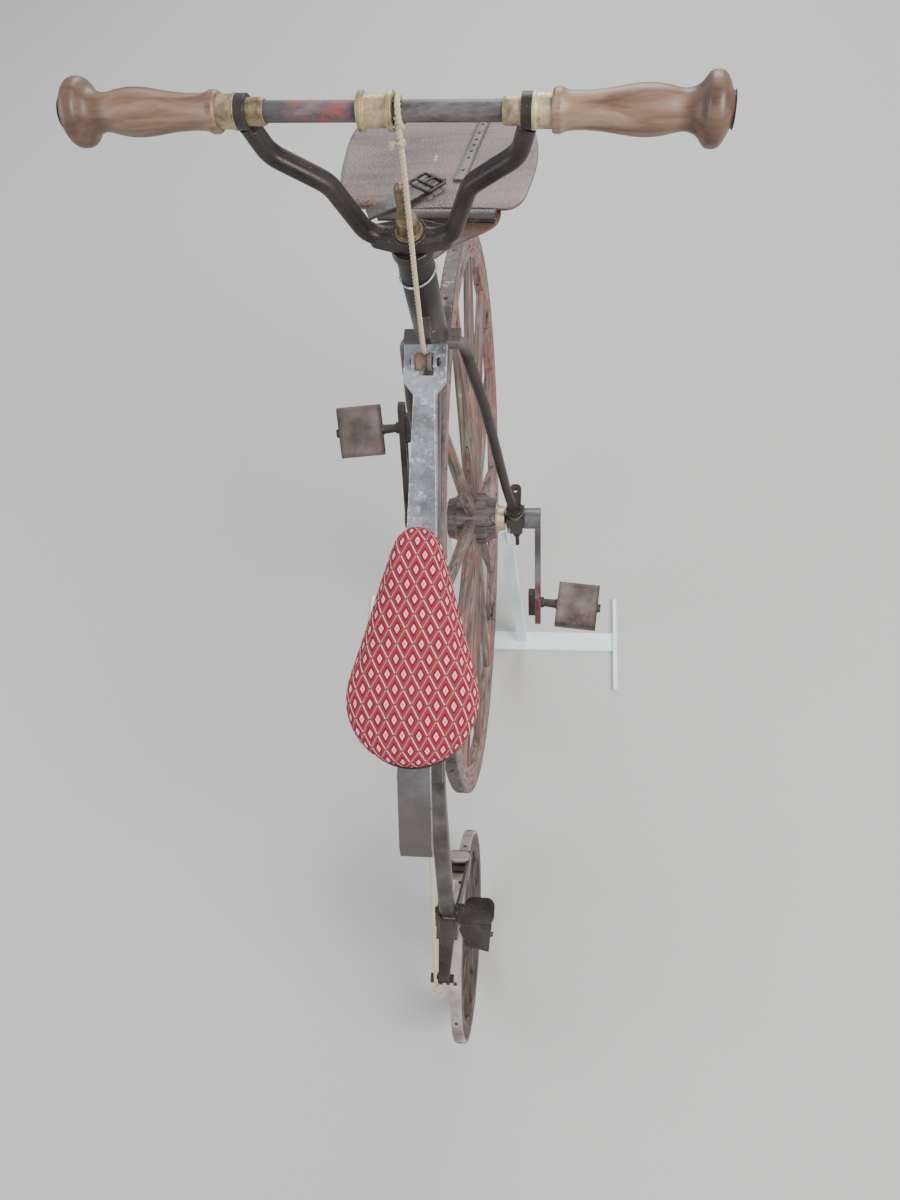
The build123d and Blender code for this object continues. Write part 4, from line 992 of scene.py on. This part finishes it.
def make_head_nut(material):
    """The washers, nut and long acorn on top of the steerer, turned about the steering axis."""
    hex_nut = lathe([(0.0118, 0.7392), (0.0128, 0.7402), (0.0128, 0.7492), (0.0116, 0.7512)], 6)
    washers = ((0.0060, 0.7345), (0.0148, 0.7346), (0.0150, 0.7352), (0.0150, 0.7368), (0.0144, 0.7376),
               (0.0126, 0.7378), (0.0128, 0.7384), (0.0126, 0.7392), (0.0060, 0.7393))
    acorn = ((0.0060, 0.7510), (0.0108, 0.7512), (0.0110, 0.7530), (0.0100, 0.7548), (0.0052, 0.7552), (0.0046, 0.7600),
             (0.0050, 0.7624), (0.0066, 0.7634), (0.0070, 0.7660), (0.0069, 0.7800), (0.0066, 0.7900), (0.0060, 0.7955),
             (0.0048, 0.7990), (0.0028, 0.8010), (0.0004, 0.8017))
    shape = joined([lathe(washers, 32), hex_nut, lathe(acorn, 28)])
    piece = add_piece("head_nut_turned", shape, material, "fork", STEER, 30)
    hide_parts("head_nut")


def make_shoe_block(material):
    """The upper part of the wooden brake shoe, let in over its iron plate."""
    thick = 8.0
    shoe_top = 0.2072              # the plate's top, from the rear axle
    ring = round_corners(16.5, 10.5, 4.5, 6)
    rows = ((0.96, 0.0), (1.0, 0.8), (1.0, 0.72 * thick), (0.975, 0.88 * thick), (0.93, 0.97 * thick), (0.86, thick))
    points = [Vector((x * share, y * share, z)) / 1000 for share, z in rows for x, y in ring]
    place = posed(REAR_HUB, ("X", -27)) @ posed((-0.0015, 0.003, shoe_top))
    add_piece("brake_shoe_block", (points, banded(len(rows), len(ring))), material, "frame", place, 50)


def make_fittings(dark, rusty, wire):
    bolt, sunk = (0.0033, 0.0011), 0.0002
    studs("rear_tread_bolts", REAR_HUB, REAR_R - sunk, 14, 5.5, bolt, dark, "rear_wheel")
    studs("front_tread_bolts", HUB, FRONT_R - sunk, 24, 7.5, bolt, dark, "front_wheel")
    studs("front_felloe_pegs", HUB, 0.455, 24, 7.5, (0.0030, 0.0008), dark, "front_wheel", 0.0099)
    studs("rear_felloe_pegs", REAR_HUB, 0.157, 16, 8, (0.0026, 0.0008), dark, "rear_wheel", 0.0084)
    # a loop of wire round the head, tipped to the right
    head = STEER @ posed((0, 0, 0.671), ("Y", -14))
    wire_ring("head_wire", head, 0.0218, 0.0012, 1.04, 0.003, wire, "frame")
    # wire wound round the fork's feet over the bearings
    for side, name in ((1, "right"), (-1, "left")):
        foot = STEER @ posed((side * 0.0765, 0, 0.0255))
        wire_ring(f"bearing_wire_{name}", foot, 0.0150, 0.0014, 2.6, 0.0036, rusty, "fork", 0.0008)
    # a nut on each end of the rear axle
    nuts = [placed(hexagon(0.0085, 0.007), facing(at(side * 34.5, -668, 178), (side, 0, 0))) for side in (1, -1)]
    add_piece("rear_axle_nuts", joined(nuts), dark, "frame")
    # rivets of the foot plate
    step = posed(at(0, -680, 496), ("X", 26))
    rivets = [placed(dome(0.0024, 0.0012), step @ posed((x / 1000, y / 1000, 0.0040)))
              for x, y in ((28, -8), (56, -8), (32, -32), (56, -38))]
    add_piece("step_rivets", joined(rivets), dark, "frame")


def dress(material, nodes):
    for node in nodes.split():
        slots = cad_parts[node].data.materials
        for index in range(len(slots)):
            slots[index] = material
        if not len(slots):
            slots.append(material)


def dress_cad():
    dark = iron("dark_iron", (0.024, 0.020, 0.018), (0.076, 0.065, 0.058), (0.070, 0.038, 0.024))
    fork_iron = iron("fork_iron", (0.023, 0.018, 0.015), (0.070, 0.058, 0.050), (0.075, 0.040, 0.024),
                     zone=(1.000, 1.035, (0.205, 0.187, 0.175), 0.3))
    frame_iron = iron("frame_iron", (0.060, 0.055, 0.052), (0.185, 0.172, 0.163), (0.12, 0.080, 0.058),
                      zone=(1.070, 1.120, (0.034, 0.029, 0.025), 0.0))
    crank_iron = iron("crank_iron", (0.085, 0.083, 0.085), (0.22, 0.22, 0.23), (0.14, 0.075, 0.055), metal=0.6,
                      zone=(0.425, 0.385, (0.19, 0.045, 0.037), 0.9))
    rusty = iron("rusty_iron", (0.070, 0.046, 0.036), (0.20, 0.155, 0.130), (0.20, 0.100, 0.060), metal=0.25,
                 rough=(0.50, 0.75), wear=0.3)
    # the pedals' dark edges are partly grime and partly painted shade
    pedal_iron = iron("pedal_iron", (0.060, 0.044, 0.037), (0.24, 0.195, 0.170), (0.20, 0.115, 0.075), metal=0.3,
                      rough=(0.40, 0.65), wear=0.3, grime_and_edge_shade=(0.022, 0.016, 0.013))
    front_strip = iron("front_tyre_iron", (0.050, 0.041, 0.037), (0.17, 0.145, 0.130), (0.20, 0.125, 0.090), metal=0.4,
                       rough=(0.40, 0.60), wear=0.6, specks=(0.30, 0.25, 0.22))
    rear_strip = iron("rear_tyre_iron", (0.175, 0.140, 0.128), (0.52, 0.465, 0.44), (0.24, 0.165, 0.130), metal=0.3,
                      rough=(0.45, 0.65), wear=0.4)
    # the spring's near-white specks from 0.99 m up are painted glints
    spring = iron("spring_steel", (0.175, 0.19, 0.215), (0.53, 0.555, 0.61), (0.22, 0.185, 0.165), metal=0.72,
                  rough=(0.32, 0.52), wear=0.9, zone=(0.960, 0.870, (0.165, 0.143, 0.129), 0.0),
                  specks=(0.88, 0.90, 0.95), glints_from=0.990)
    worn_brass = brass("worn_brass", (0.155, 0.110, 0.054), (0.66, 0.54, 0.335))
    bronze = brass("head_bronze", (0.066, 0.048, 0.027), (0.345, 0.262, 0.150))
    rim_tones = ((0.055, 0.036, 0.030), (0.175, 0.112, 0.093), (0.37, 0.255, 0.215))
    spoke_tones = ((0.050, 0.036, 0.030), (0.130, 0.092, 0.078), (0.27, 0.200, 0.170))
    hub_tones = ((0.036, 0.026, 0.023), (0.088, 0.066, 0.060), (0.165, 0.128, 0.120))
    rear_tones = ((0.018, 0.013, 0.010), (0.050, 0.036, 0.029), (0.125, 0.095, 0.078))
    shoe_wood = plain_wood("shoe_wood", (0.16, 0.130, 0.100), (0.335, 0.285, 0.235))
    skin = leather("apron_leather", (0.108, 0.071, 0.070), (0.212, 0.148, 0.144), at(*SCRAPE))
    worn = leather("worn_leather", (0.075, 0.060, 0.056), (0.175, 0.150, 0.142))
    strap = leather("strap_leather", (0.040, 0.034, 0.031), (0.115, 0.098, 0.090))
    gusset = leather("gusset_leather", (0.095, 0.050, 0.036), (0.21, 0.125, 0.095))
    cord = hemp("hemp")
    for material, nodes in (
            (fork_iron, "fork"),
            (dark, "bearing_cap_left bearing_cap_right handlebar_arms pulley_pin saddle_base saddle_clip_front"),
            (dark, "saddle_clip_rear rear_fork rear_axle brake_pin brake_lever front_axle crank_left"),
            (dark, "pedal_pin_left pedal_pin_right cord_roller step"),
            (frame_iron, "backbone spring_stay"),
            (crank_iron, "crank_right"),
            (pedal_iron, "pedal_left pedal_right"),
            (rusty, "cord_pulley"),
            (front_strip, "front_tyre"),
            (rear_strip, "rear_tyre"),
            (spring, "spring"),
            (worn_brass, "bar_collar_left bar_collar_right ferrule_left ferrule_right cord_spool"),
            (worn_brass, "hub_ring_left hub_ring_right"),
            (bronze, "head_nut"),
            (wheel_wood("front_rim_wood", HUB, (190.0, 190.0, 60.0), rim_tones, 0.75, 0.6, 8), "front_felloe"),
            (wheel_wood("front_spoke_wood", HUB, (190.0, 9.0, 420.0), spoke_tones, 0.5, 0.7), "front_spokes"),
            (wheel_wood("hub_wood", HUB, (12.0, 120.0, 40.0), hub_tones, 0.35, 0.1), "front_hub"),
            (wheel_wood("rear_rim_wood", REAR_HUB, (190.0, 190.0, 22.0), rear_tones, 0.08, 0.2, 4), "rear_felloe"),
            (wheel_wood("rear_spoke_wood", REAR_HUB, (190.0, 9.0, 160.0), rear_tones, 0.08, 0.2), "rear_spokes"),
            (wheel_wood("rear_hub_wood", REAR_HUB, (12.0, 120.0, 40.0), rear_tones, 0.2, 0.1), "rear_hub"),
            (turned_wood("grip_wood"), "grip_left grip_right"),
            (painted("stand_paint", (0.84, 0.965, 1.0), (0.40, 0.42, 0.43), 0.70),
             "stand_bar stand_tee_left stand_tee_right stand_upright_left stand_upright_right"),
            (bar_paint("bar_paint"), "handlebar"),
            (shoe_wood, "brake_shoe"),
            (worn, "leather_apron saddle"),
            (cord, "cord_winding brake_cord_front brake_cord_rear")):
        dress(material, nodes)
    make_cords(cord)
    make_saddle(cloth("saddle_cloth"))
    make_apron(skin, worn, strap, gusset, dark)
    make_head_nut(bronze)
    make_shoe_block(shoe_wood)
    make_fittings(dark, rusty, spring)


add_camera()
add_studio()
dress_cad()
